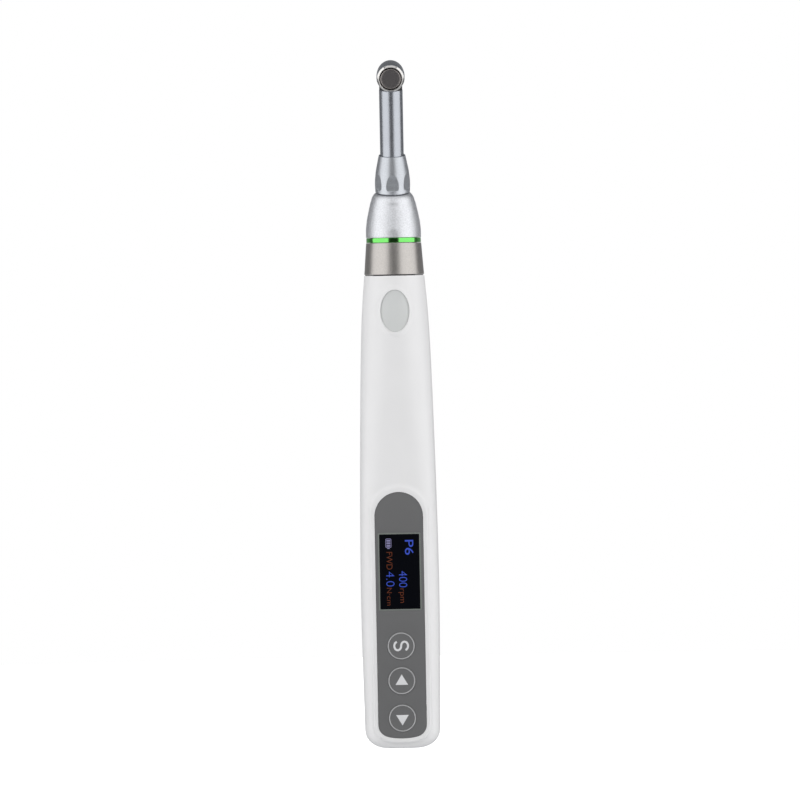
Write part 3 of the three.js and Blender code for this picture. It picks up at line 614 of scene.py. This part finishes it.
def smooth(t):
    t = np.clip(t, 0, 1)
    return t * t * (3 - 2 * t)


def offset_loops(loop, distances):
    normal = outward(loop)
    return [loop + normal * d for d in distances]


SPREAD = 18.0  # the flat pattern's half width
FACE_Y = 2.0  # features on the front face lie below this y, and those on the back face above it


def shell(name, side, features, base_holes=(), **more):
    """One half of the handle. features are (loop in x and z, distances of the loops round it, seat).
    The skin is triangulated as a flat pattern, share of the way round by height, and then laid on
    the handle's surface, with a second skin a wall's thickness inside it."""
    flat, loops, hole_loops, seats = [], [], [], {}

    def add(points):
        start = sum(len(p) for p in flat)
        flat.append(np.asarray(points, float))
        return np.arange(start, start + len(points))

    def faces_out(y):
        return y < FACE_Y if side == "front" else y > FACE_Y

    base_rows = [0, 0.06, 0.22, 0.5, 0.9, 1.5, 2.2, 3.1, 4.1]
    heights = np.concatenate([base_rows, np.arange(5.2, HANDLE_TOP, 1.5), [HANDLE_TOP]])
    grid = []
    shares = np.linspace(-1, 1, 57)
    for k, z in enumerate(heights):
        row = shares if k % 2 == 0 or z in (0, HANDLE_TOP) else (shares[:-1] + shares[1:]) / 2
        row = np.unique(np.concatenate([[-1], row, [1]]))
        grid.extend((s * SPREAD, z) for s in row)
    grid = np.array(grid)
    gx, gy = on_section(side, grid[:, 1], grid[:, 0] / SPREAD)
    keep = np.ones(len(grid), bool)
    rings = []
    for loop, distances, seat in features:
        gap = distance_to(np.stack([gx, grid[:, 1]], 1), loop)
        keep &= ~((gap < max(distances) + 0.35) & faces_out(gy))
        rings += [(each, seat, d) for d, each in zip(distances, offset_loops(loop, distances))]
    add(grid[keep])
    for each, seat, d in rings:
        share = share_at(side, each[:, 1], each[:, 0])
        index = add(np.stack([share * SPREAD, each[:, 1]], 1))
        loops.append(index)
        if d == 0:
            hole_loops.append(index)
            seats.update({int(i): seat for i in index})
    flat = np.concatenate(flat)
    faces = triangulate(flat, loops, None, [flat[i] for i in hole_loops])
    z, share = flat[:, 1], flat[:, 0] / SPREAD
    x, y = on_section(side, z, share)
    outer = np.stack([x, y, z], 1)
    outer[:, 1] += relief(side, x, y, z)
    z_in = BASE_THICK + z * (HANDLE_TOP - BASE_THICK) / HANDLE_TOP
    x_in, y_in = on_section(side, z_in, share, WALL)
    back = np.stack([x_in, y_in, z_in], 1)
    for loop, distances, seat in features:
        gap = distance_to(np.stack([x, z], 1), loop)
        weight = np.where(faces_out(y), 1 - smooth(gap / 2.5), 0)[:, None]
        step = WALL if side == "front" else -WALL
        straight = np.stack([x, y + step, np.maximum(z, BASE_THICK + 0.2 * z)], 1)
        back = back * (1 - weight) + straight * weight
    for i, seat in seats.items():
        if seat is not None:
            back[i] = [x[i], seat, z[i]]
    # the flat base
    rim = np.where(z < 1e-6)[0]
    rim = rim[np.argsort(share[rim])]
    base = outer[rim][:, :2]
    extra = np.concatenate(base_holes) if base_holes else np.zeros((0, 2))
    pattern = np.concatenate([base, extra])
    total = len(outer)
    index = np.concatenate([rim, np.arange(total, total + len(extra))])
    rings_flat = [np.arange(len(rim))]
    start = len(rim)
    for hole in base_holes:
        rings_flat.append(np.arange(start, start + len(hole)))
        start += len(hole)
    under = triangulate(pattern, rings_flat, base, base_holes)
    faces = np.concatenate([faces, index[under]])
    if len(extra):
        outer = np.concatenate([outer, np.column_stack([extra, np.zeros(len(extra))])])
        back = np.concatenate([back, np.column_stack([extra, np.full(len(extra), BASE_THICK)])])
    # walls between the outer and inner skins along every free edge
    edges = {}
    for a, b, c in faces:
        for p, q in ((a, b), (b, c), (c, a)):
            key = (min(p, q), max(p, q))
            edges[key] = edges.get(key, 0) + 1
    size = len(outer)
    walls = [(a, b, b + size, a + size) for (a, b), used in edges.items() if used == 1]
    every = faces.tolist() + (faces[:, ::-1] + size).tolist() + walls
    return piece(name, np.concatenate([outer, back]), every, "handle", "white_shell", sharp=40, **more)


def button_hole():
    return ellipse(0, BUTTON["z"], BUTTON["half_width"] + 0.05, BUTTON["half_height"] + 0.05)


def round_off(gap, radius):
    """How far an edge rounded by radius has dropped at a distance of gap from it."""
    return radius - np.sqrt(np.clip(radius**2 - np.clip(radius - gap, 0, radius) ** 2, 0, None))


def relief(side, x, y, z):
    """How far the raised rim round the panel and the hollow round the button move the front face."""
    if side == "back":
        return np.zeros(len(x))
    flat = np.stack([x, z], 1)
    facing = y < 0
    gap = distance_to(flat, panel_outline())
    end = 1.75 + 0.75 * smooth((z - 66) / 6)  # the rim's slope is wider round the arch
    share = 1 - smooth((gap - 1.05) / (end - 1.05))
    rim = np.where(facing & (gap < end), share * (PAD_FACE_Y - y) + round_off(gap, 0.1), 0)
    far = distance_to(flat, button_hole())
    swell = -0.45 * (1 - smooth((far - 0.5) / 1.2)) + round_off(far, 0.05)
    return rim + np.where(facing & (far < 2.2), swell, 0)


def handle():
    """The two shells, and the tongue that closes the joint between them."""
    rim_steps = [0, 0.03, 0.08, 0.14, 0.22, 0.6, 1.0, 1.2, 1.4, 1.6, 1.8, 2.1, 2.4, 2.75]
    halo_steps = [0, 0.03, 0.08, 0.14, 0.22, 0.45, 0.7, 0.95, 1.2, 1.5, 1.8, 2.1]
    shell(
        "handle_front_half",
        "front",
        [(panel_outline(), rim_steps, None), (button_hole(), halo_steps, None)],
        replaces=["front_shell"],
    )
    holes = [(circle(x, z, 1.5, 40), [0, 0.06, 0.15, 0.5], seat + 0.2) for x, z, seat in SCREWS.values()]
    contacts = [circle(x, CONTACT_Y, 1.0, 32) for x in CONTACTS.values()]
    shell("handle_back_half", "back", holes, base_holes=contacts, replaces=["back_shell"])
    # the tongue runs up both sides and along the base
    heights = np.concatenate([[0.0, 0.4, 1.0, 1.8, 2.8, 4.0], np.arange(6, 134.5, 4)])
    edge = on_section("front", heights, np.ones(len(heights)))[0]
    outer = np.stack([edge - 0.3, np.maximum(heights, 0.3)], 1)
    inner = np.stack([edge - 1.2, np.maximum(heights, 1.2)], 1)
    mirror = [-1, 1]
    loop = np.concatenate([(outer * mirror)[::-1], outer, inner[::-1], inner * mirror])
    plate("joint_tongue", loop, "handle", "white_shell", 1.2, 1.8, bevel=0.01, replaces=["back_shell"])


def power_button():
    """A domed oval that follows the handle's face, with its edge rounded and a skirt going in."""
    count = 128
    angles = 2 * np.pi * np.arange(count) / count
    a, b, z0 = BUTTON["half_width"] + 0.035, BUTTON["half_height"] + 0.035, BUTTON["z"]
    rows = [np.array([[0, face_y("front", 0, z0) - 0.19, z0]])]
    for t in (0.12, 0.25, 0.4, 0.55, 0.68, 0.8, 0.88, 0.93, 0.96, 0.975, 0.985, 0.993, 0.998, 1.0):
        x, z = a * t * np.cos(angles), z0 + b * t * np.sin(angles)
        dome = 0.14 * (1 - t**2.2) ** 0.8
        edge = 0.05 * math.sqrt(max(0, 1 - (max(0, t - 0.98) / 0.02) ** 2))
        y = face_y("front", x, z) - dome - edge
        rows.append(np.stack([x, y, z], 1))
    x, z = a * np.cos(angles), z0 + b * np.sin(angles)
    for depth in (0.3, 1.9):
        rows.append(np.stack([x, face_y("front", x, z) + depth, z], 1))
    rows.append(np.array([[0, face_y("front", 0, z0) + 1.9, z0]]))
    points, faces = skin(rows)
    piece("power_button_cap", points, faces, "power_button", "light_grey_button", replaces=["power_button"])


def glyphs(name, text, x_range, z_range, body, finish, y, weight=0.0, thick=0.02):
    """Text turned a quarter clockwise, fitted to a box: x_range across, z_range from the top down."""
    curve = bpy.data.curves.new(name, "FONT")
    curve.body = text
    curve.extrude = 0.5
    curve.offset = weight
    curve.resolution_u = 6
    made = bpy.data.objects.new(name, curve)
    bpy.context.scene.collection.objects.link(made)
    bpy.context.view_layer.update()
    me = made.evaluated_get(bpy.context.evaluated_depsgraph_get()).to_mesh()
    co = np.array([v.co for v in me.vertices], float)
    faces = [list(p.vertices) for p in me.polygons]
    bpy.data.objects.remove(made)
    bpy.data.curves.remove(curve)
    low, high = co.min(0), co.max(0)
    share = (co - low) / (high - low)
    x = x_range[0] + (x_range[1] - x_range[0]) * share[:, 1]
    z = z_range[0] + (z_range[1] - z_range[0]) * share[:, 0]
    points = np.stack([x, y - thick * (share[:, 2] - 0.5), z], 1)
    return piece(name, points, faces, body, finish, sharp=30)


def control_panel():
    """The grey overlay with its openings, the screen in it, and what the screen shows."""
    x, top = SCREEN["width"] / 2, SCREEN["z"] + SCREEN["height"] / 2
    low = SCREEN["z"] - SCREEN["height"] / 2
    window = rectangle(-x - 0.4, x + 0.4, low - 0.4, top + 0.4, 0.35)
    holes = [window] + [circle(0, z, KEY_RADIUS + 0.06) for z in KEY_Z.values()]
    outline = offset_loops(panel_outline(), [-0.05])[0]
    plate("panel_overlay", outline, "handle", "grey_panel", PANEL_FACE_Y, PANEL_BACK_Y, bevel=0.05,
          holes=holes, replaces=["control_panel"])
    border = rectangle(-x - 0.38, x + 0.38, low - 0.38, top + 0.38, 0.33)
    opening = rectangle(-x - 0.02, x + 0.02, low - 0.02, top + 0.02, 0.2)
    plate("screen_border", border, "handle", "screen_edge", PANEL_FACE_Y - 0.01, PANEL_BACK_Y, bevel=0.05,
          holes=[opening])
    face = PANEL_FACE_Y + 0.03
    plate("screen_window", rectangle(-x, x, low, top, 0.18), "handle", "black_window", face, PANEL_BACK_Y,
          bevel=0.04, replaces=["display_lens"])

    def put(name, text, across, down, finish, weight=0.0):
        """A readout, placed in mm across from the screen's left edge and down from its top."""
        x_range, z_range = (-x + across[0], -x + across[1]), (top - down[0], top - down[1])
        glyphs(name, text, x_range, z_range, "handle", finish, face, weight)

    put("readout_program", "P6", (7.4, 9.9), (1.7, 6.0), "readout_blue")
    put("readout_direction", "FWD", (2.0, 3.7), (5.1, 10.2), "readout_orange", -0.004)
    put("readout_torque", "4.0", (1.85, 4.2), (10.8, 15.1), "readout_blue", -0.016)
    put("readout_torque_unit", "N·cm", (1.95, 3.4), (15.5, 20.6), "readout_orange", -0.006)
    put("readout_speed", "400", (5.55, 7.9), (10.7, 15.4), "readout_blue", -0.012)
    put("readout_speed_unit", "rpm", (5.3, 6.85), (15.75, 19.9), "readout_orange", -0.006)
    battery_icon(-x + 1.8, -x + 3.5, top - 1.2, top - 4.2, face)


def battery_icon(x0, x1, top, bottom, y):
    """A small battery symbol on its side: a rounded case with three bars in it, and a terminal."""

    def part(name, outline, holes=()):
        plate(name, outline, "handle", "readout_violet", y - 0.01, y + 0.01, bevel=0.004, holes=holes)

    nub, line = 0.3, 0.15
    low = bottom + nub
    part("readout_battery_case", rectangle(x0, x1, low, top, 0.4),
         [rectangle(x0 + line, x1 - line, low + line, top - line, 0.27)])
    part("readout_battery_terminal", rectangle(x0 + 0.5, x1 - 0.5, bottom, low - 0.04, 0.1))
    pitch = (top - low - 2 * line - 0.16) / 3
    for k in range(3):
        start = low + line + 0.16 + pitch * k
        bar = rectangle(x0 + line + 0.16, x1 - line - 0.16, start, start + pitch - 0.2, 0.08)
        part(f"readout_battery_bar_{k + 1}", bar)


def letter_s(half_height, half_width, stroke, steps=20):
    """The outline of a capital S drawn with a round pen: two arcs, one over the other."""
    rise, reach = (half_height - stroke / 2) / 2, half_width - stroke / 2
    upper = np.radians(np.linspace(15, 270, steps))
    lower = np.radians(np.linspace(90, -165, steps))[1:]
    line = [(reach * math.cos(a), rise + rise * math.sin(a)) for a in upper]
    line += [(reach * math.cos(a), -rise + rise * math.sin(a)) for a in lower]
    line = np.array(line)
    step = np.gradient(line, axis=0)
    side = np.stack([-step[:, 1], step[:, 0]], 1) / np.linalg.norm(step, axis=1)[:, None] * stroke / 2
    return np.concatenate([line + side, (line - side)[::-1]])


def keys():
    """Three round keys, each with a raised printed ring and a legend."""
    bodies = {"key_set": "set_key", "key_up": "up_key", "key_down": "down_key"}
    cap = [
        (0, 10.98, 0), (2.2, 10.99, 0), (3.3, 11.03, 0), (3.93, 11.07, 0.05), (3.93, 8.4, 0.02),
        (4.35, 8.35, 0.02), (4.35, 7.95, 0.02), (0, 7.95, 0),
    ]
    for name, z in KEY_Z.items():
        facing = Matrix.Translation((0, 0, z)) @ Matrix.Rotation(math.pi / 2, 4, "X")
        lathe(name + "_cap", cap, bodies[name], "grey_panel", facing, 96, replaces=[name])
        oval = bead(3.74, 11.04, 0.17, 0.13)
        lathe(name + "_ring", oval, bodies[name], "silver_print", facing, 96, closed=True)

    def legend(name, outline):
        plate(name + "_legend", outline, bodies[name], "white_print", -11.05, -10.98, bevel=0.01)

    letter = letter_s(2.28, 1.52, 0.58)
    legend("key_set", np.stack([letter[:, 1], KEY_Z["key_set"] - letter[:, 0]], 1))
    for name, middle, tip in (("key_up", 0.33, 1.52), ("key_down", -0.6, -1.52)):
        z = KEY_Z[name] + middle
        outline = np.array([(-1.84, z - tip), (1.84, z - tip), (0, z + tip)])
        legend(name, outline if tip > 0 else outline[::-1])


# ---------------------------------------------------------------- metal parts


def collar():
    corners = [
        (6.4, 137.55, 0.05), (8.7, 137.55, 0.12), (8.02, 146.75, 0.14), (7.02, 146.75, 0.1),
        (7.02, 139.2, 0.1), (6.4, 138.9, 0.1),
    ]
    lathe("collar_turned", corners, "handle", "champagne_metal", closed=True, segments=160,
          replaces=["collar"])


def colour_band():
    corners = [(6.8, 146.85, 0.05), (7.95, 146.85, 0.1), (7.93, 148.22, 0.1), (6.8, 148.22, 0.05)]
    lathe("colour_band_turned", corners, "contra_angle", "green_ring", closed=True, segments=160,
          replaces=["colour_band"])


def sleeve():
    """The sleeve's outside is where two turned forms meet, one on the handle's axis and one on the neck's.
    Its rows lie in planes that lean gradually, from square with the handle to square with the neck."""
    rear = np.array([  # height and radius on the handle's axis
        (148.3, 7.95), (148.36, 8.0), (150.5, 8.0), (151.8, 7.88), (153.3, 7.7), (154.7, 7.42), (156.2, 7.1),
        (157.7, 6.75), (159.2, 6.4), (161, 5.95), (163, 5.3), (164, 4.8),
    ])
    front = np.array([  # length from the bend and radius on the neck's axis
        (-22, 16), (-4.6, 9.16), (2.04, 6.35), (2.5, 6.25), (3.0, 6.08), (3.4, 5.88), (3.8, 5.62),
        (4.1, 5.35), (4.3, 5.1), (4.4, 4.9), (4.44, 4.75), (4.45, 4.6),
    ])
    segments = 240
    shoulder = 4.45
    angles = 2 * np.pi * np.arange(segments) / segments
    rows = []
    for along in np.concatenate([
        [-8.7, -8.67, -8.62, -8.5], np.arange(-8.2, 3.6, 0.2),
        [3.7, 3.85, 4.0, 4.1, 4.2, 4.28, 4.34, 4.39, 4.42, 4.44, shoulder],
    ]):
        lean = NECK_TILT * smooth((along + 6.5) / 10)
        axis = HANDLE if along < 0 else NECK
        centre = axis.to_3x3() @ Vector((0, 0, along)) + Vector((0, 0, BEND_Z))
        out = np.stack([np.cos(angles), np.sin(angles) * math.cos(lean), np.sin(angles) * math.sin(lean)], 1)
        low, high = np.zeros(segments), np.full(segments, 12.0)
        for _ in range(28):  # halve the gap round the radius at which the row leaves the solid
            middle = (low + high) / 2
            x, y, z = (np.array(centre) + out * middle[:, None]).T
            up = z - BEND_Z
            s = -math.sin(NECK_TILT) * y + math.cos(NECK_TILT) * up
            off = np.hypot(x, math.cos(NECK_TILT) * y + math.sin(NECK_TILT) * up)
            within = (np.hypot(x, y) < np.interp(z, *rear.T)) & (off < np.interp(s, *front.T))
            low, high = np.where(within, middle, low), np.where(within, high, middle)
        rows.append(np.array(centre) + out * low[:, None])
    neck = np.array(NECK)
    for r, s in ((3.75, shoulder), (3.75, 9.0), (2.95, 9.0), (2.95, 0.2)):
        rows.append(ring(r, s, segments) @ neck[:3, :3].T + neck[:3, 3])
    for r, z in ((6.05, 156.6), (6.05, 139.25), (6.1, 139.2), (6.65, 139.2), (6.7, 139.25), (6.7, 148.28)):
        rows.append(ring(r, z, segments))
    points, faces = skin(rows, closed=True)
    piece("sleeve_turned", points, faces, "contra_angle", "blasted_silver", replaces=["sleeve"], sharp=35)


def nose_ring():
    """A clamping nut whose cone carries six flutes, each a flat cut across it with a rounded outline."""
    corners = [
        (4.7, 4.75, 0), (5.02, 4.76, 0.26), (5.12, 6.6, 4), (5.1, 8.1, 6), (4.8, 11.0, 12), (4.2, 14.0, 12),
        (3.86, 15.6, 0.16), (3.6, 15.6, 0),
    ]
    profile = np.array([(s, r) for r, s in rounded(corners, steps=9)])
    widest, middle = 1.85, 6.95  # a flute's half width, and where along the neck it is that wide
    foot, point = 1.2, 3.6  # its lengths below and above that
    segments = 480
    angles = 2 * np.pi * np.arange(segments) / segments
    local = (angles + np.pi / 2 + np.pi / 6) % (np.pi / 3) - np.pi / 6
    rows = []
    steps = [profile[profile[:, 0] < 5.6, 0], np.arange(5.66, 6.3, 0.03), np.arange(6.3, 10.0, 0.1)]
    steps += [np.arange(10.0, 10.7, 0.04), np.arange(10.9, 15.3, 0.4), profile[profile[:, 0] > 15.3, 0]]
    for s in np.unique(np.concatenate(steps)):
        radius = np.full(segments, np.interp(s, profile[:, 0], profile[:, 1]))
        reach, power = (foot, 0.15) if s < middle else (point, 0.5)
        half = widest * max(0, 1 - ((s - middle) / reach) ** 2) ** power
        cut = np.sqrt(radius**2 - half**2) / np.cos(local)
        within = np.abs(radius * np.sin(local)) < half
        rows.append(ring(np.where(within, np.minimum(radius, cut), radius), s, segments))
    for r, s in ((3.56, 15.6), (3.56, 10.45), (3.96, 10.4), (3.96, 4.8), (4.0, 4.75)):
        rows.append(ring(r, s, segments))
    points, faces = skin(rows, closed=True)
    piece("nose_ring_cut", points, faces, "contra_angle", "clamp_silver", matrix=NECK,
          replaces=["nose_ring"], sharp=6)


def head():
    """The neck tube, the head's barrel, bezel and push button, and the file chuck in it."""

    def turned(name, corners, finish, axis=HEAD, segments=160, body="contra_angle", **more):
        lathe(name, corners, body, finish, axis, segments, **more)

    tube = [
        (2.3, 9.2, 0.02), (3.7, 9.2, 0.05), (3.7, 10.2, 0.05), (3.42, 10.25, 0.02), (3.42, 34.85, 0.1),
        (3.2, 35.12, 0.06), (2.3, 35.12, 0.02),
    ]
    turned("neck_tube", tube, "satin_silver", NECK, closed=True, replaces=["head_housing"])
    # painted shade: a black ring between the tube's top and the barrel stands for the dark shadow gap under
    # the barrel's overhang, seen as dark notches either side under the bezel
    joint = [(2.3, 35.0, 0.02), (3.34, 35.0, 0.02), (3.34, 37.1, 0.1), (2.3, 37.1, 0.02)]
    turned("neck_shadow_ring", joint, "black_plastic", NECK, 96, closed=True, replaces=["head_housing"])
    barrel = [
        (2.0, -5.9, 0.05), (2.55, -5.9, 0.4), (3.32, -5.5, 0.6), (3.7, -4.6, 1.6), (3.88, -3.2, 5.0),
        (4.0, -1.4, 8.0), (4.08, 0.4, 8.0), (4.08, 3.7, 0.15), (3.95, 4.3, 0.08), (3.5, 4.3, 0.05),
        (3.5, 3.2, 0.05), (3.2, 3.2, 0.02), (3.2, -2.8, 0.05), (2.8, -2.8, 0.05), (2.8, -4.6, 0.1),
        (2.0, -4.7, 0.05),
    ]
    turned("head_barrel", barrel, "satin_silver", closed=True, replaces=["head_housing"])
    bezel = [
        (1.75, 3.3, 0.02), (3.46, 3.3, 0.02), (3.46, 4.42, 0.03), (3.86, 4.42, 0.08), (3.92, 5.02, 0.06),
        (3.46, 5.56, 0.12), (3.34, 5.52, 0.05), (3.31, 3.65, 0.02), (1.75, 3.6, 0.02),
    ]
    turned("head_bezel", bezel, "polished_silver", closed=True, replaces=["head_cap"])
    # painted shade: a dark metal lining on the bezel's inner wall darkens the gap round the push button,
    # where shade falls
    liner = [(3.2, 3.66, 0.02), (3.3, 3.66, 0.02), (3.3, 5.4, 0.02), (3.2, 5.3, 0.02)]
    turned("bezel_shade_liner", liner, "dark_metal", segments=128, closed=True, replaces=["head_cap"],
           slot="polished_silver")
    button = [
        (0, 4.5, 0), (0.9, 4.5, 0.05), (0.9, 4.75, 0.02), (2.9, 4.75, 0.03), (2.93, 5.34, 0.08),
        (2.76, 5.52, 0.07), (2.58, 5.48, 0.05), (2.46, 5.32, 0.05), (1.6, 5.31, 0), (0, 5.3, 0),
    ]
    turned("push_button_disc", button, "dark_metal", segments=128, body="chuck_button",
           replaces=["push_button"])
    turned("push_button_rim", bead(2.82, 5.42, 0.12, 0.12), "rim_metal", segments=128, body="chuck_button",
           closed=True)
    spindle = [
        (1.2, -5.5, 0.05), (1.5, -5.5, 0.06), (1.75, -4.4, 0.05), (1.5, -4.25, 0.05), (1.5, 3.0, 0.05),
        (1.2, 3.0, 0.05),
    ]
    turned("file_chuck", spindle, "steel", segments=96, body="chuck", closed=True, replaces=["chuck_spindle"])


def return_spring(radius=2.25, wire=0.13, turns=2.75, seat=3.6, top=4.74):
    """The coil under the push button, with closed end turns, built at a single length; the real spring
    shortens as the button goes in.
    """
    t = np.linspace(0, 1, int(turns * 40) + 1)
    flat_end = 0.3 / turns
    climb = np.clip((t - flat_end) / (1 - 2 * flat_end), 0, 1)
    height = seat + wire + (top - seat - 2 * wire) * (0.35 * smooth(climb) + 0.65 * climb)
    face = 2 * np.pi * np.arange(12) / 12
    rows = []
    for turn, z in zip(2 * np.pi * turns * t, height):
        r = radius + wire * np.cos(face)
        rows.append(np.stack([r * math.cos(turn), r * math.sin(turn), z + wire * np.sin(face)], 1))
    first, last = rows[0].mean(0, keepdims=True), rows[-1].mean(0, keepdims=True)
    points, faces = skin([first, *rows, last])
    coil = piece("return_spring", points, faces, "contra_angle", "steel", ["button_spring"], HEAD)
    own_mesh(coil)


def screws_and_contacts():
    """The cross-head screws in the back half, and the two charging contacts in the base."""
    arm, slot = 0.8, 0.17
    corner = [(slot, arm), (slot, slot), (arm, slot)]
    cross = np.array([
        (x * cos - z * sin, x * sin + z * cos)
        for cos, sin in ((1, 0), (0, -1), (-1, 0), (0, 1))
        for x, z in corner
    ])
    shank = [
        (0, 0.6, 0), (1.1, 0.6, 0.05), (1.1, 0.15, 0.05), (0.65, 0.05, 0.05), (0.65, -9.0, 0.2), (0, -9.0, 0),
    ]
    for name, (x, z, seat) in SCREWS.items():
        outline = circle(x, z, 1.35, 64)
        recess = (cross + [x, z])[::-1]
        plate(name + "_head", outline, "handle", "steel", seat + 1.1, seat + 0.1, bevel=0.14,
              holes=[recess], replaces=[name])
        facing = Matrix.Translation((x, seat, z)) @ Matrix.Rotation(-math.pi / 2, 4, "X")
        lathe(name + "_shank", shank, "handle", "steel", facing, 48, replaces=[name])
    pin = [(0, 0.15, 0), (0.8, 0.15, 0.25), (0.8, 2, 0.02), (1.3, 2, 0.05), (1.3, 3, 0.05), (0, 3, 0)]
    for name, x in CONTACTS.items():
        place = Matrix.Translation((x, CONTACT_Y, 0))
        lathe(name + "_pin", pin, "handle", "gold_contact", place, 64, replaces=[name])


def coupling():
    """The spigot, its seal and the bush, which show when the contra-angle is off."""
    spigot = [
        (2.6, 134, 0.02), (7, 134, 0.1), (7, 137.2, 0.05), (6.1, 137.2, 0.02), (6.1, 138.7, 0.1),
        (5.0, 138.7, 0.05), (5.0, 140.4, 0.05), (4.6, 140.4, 0.05), (4.6, 141.6, 0.05), (5.0, 141.6, 0.05),
        (5.0, 147, 0.06), (4.6, 147, 0.05), (4.6, 148.2, 0.05), (5.0, 148.2, 0.06), (5.0, 149.1, 0.1),
        (4.6, 149.5, 0.1), (3.4, 149.5, 0.06), (3.4, 136.2, 0.02), (2.6, 136.2, 0.02),
    ]
    lathe("motor_spigot", spigot, "handle", "steel", closed=True, replaces=["motor_flange"])
    seal = bead(4.93, 141.0, 0.27, 0.3)
    lathe("spigot_seal_ring", seal, "handle", "black_rubber", closed=True, replaces=["spigot_seal"])
    bush = [
        (5.3, 139.5, 0.1), (6, 139.5, 0.08), (6, 149.8, 0.05), (5.3, 149.8, 0.02), (5.3, 148.4, 0.02),
        (5.7, 148.2, 0.02), (5.7, 147, 0.02), (5.3, 146.8, 0.02),
    ]
    lathe("coupling_bush_turned", bush, "contra_angle", "brass", closed=True, replaces=["coupling_bush"])


def inner_nodes():
    """Every CAD node that still shows gets its slot's finish."""
    slots = {s["node"]: s["material_slot"] for s in frame["record"]["subparts"]}
    for name, node in frame["nodes"].items():
        node.data.materials.clear()
        node.data.materials.append(FINISH[slots[name]])


camera()
studio()
handle()
power_button()
control_panel()
keys()
collar()
colour_band()
sleeve()
nose_ring()
head()
return_spring()
screws_and_contacts()
coupling()
inner_nodes()
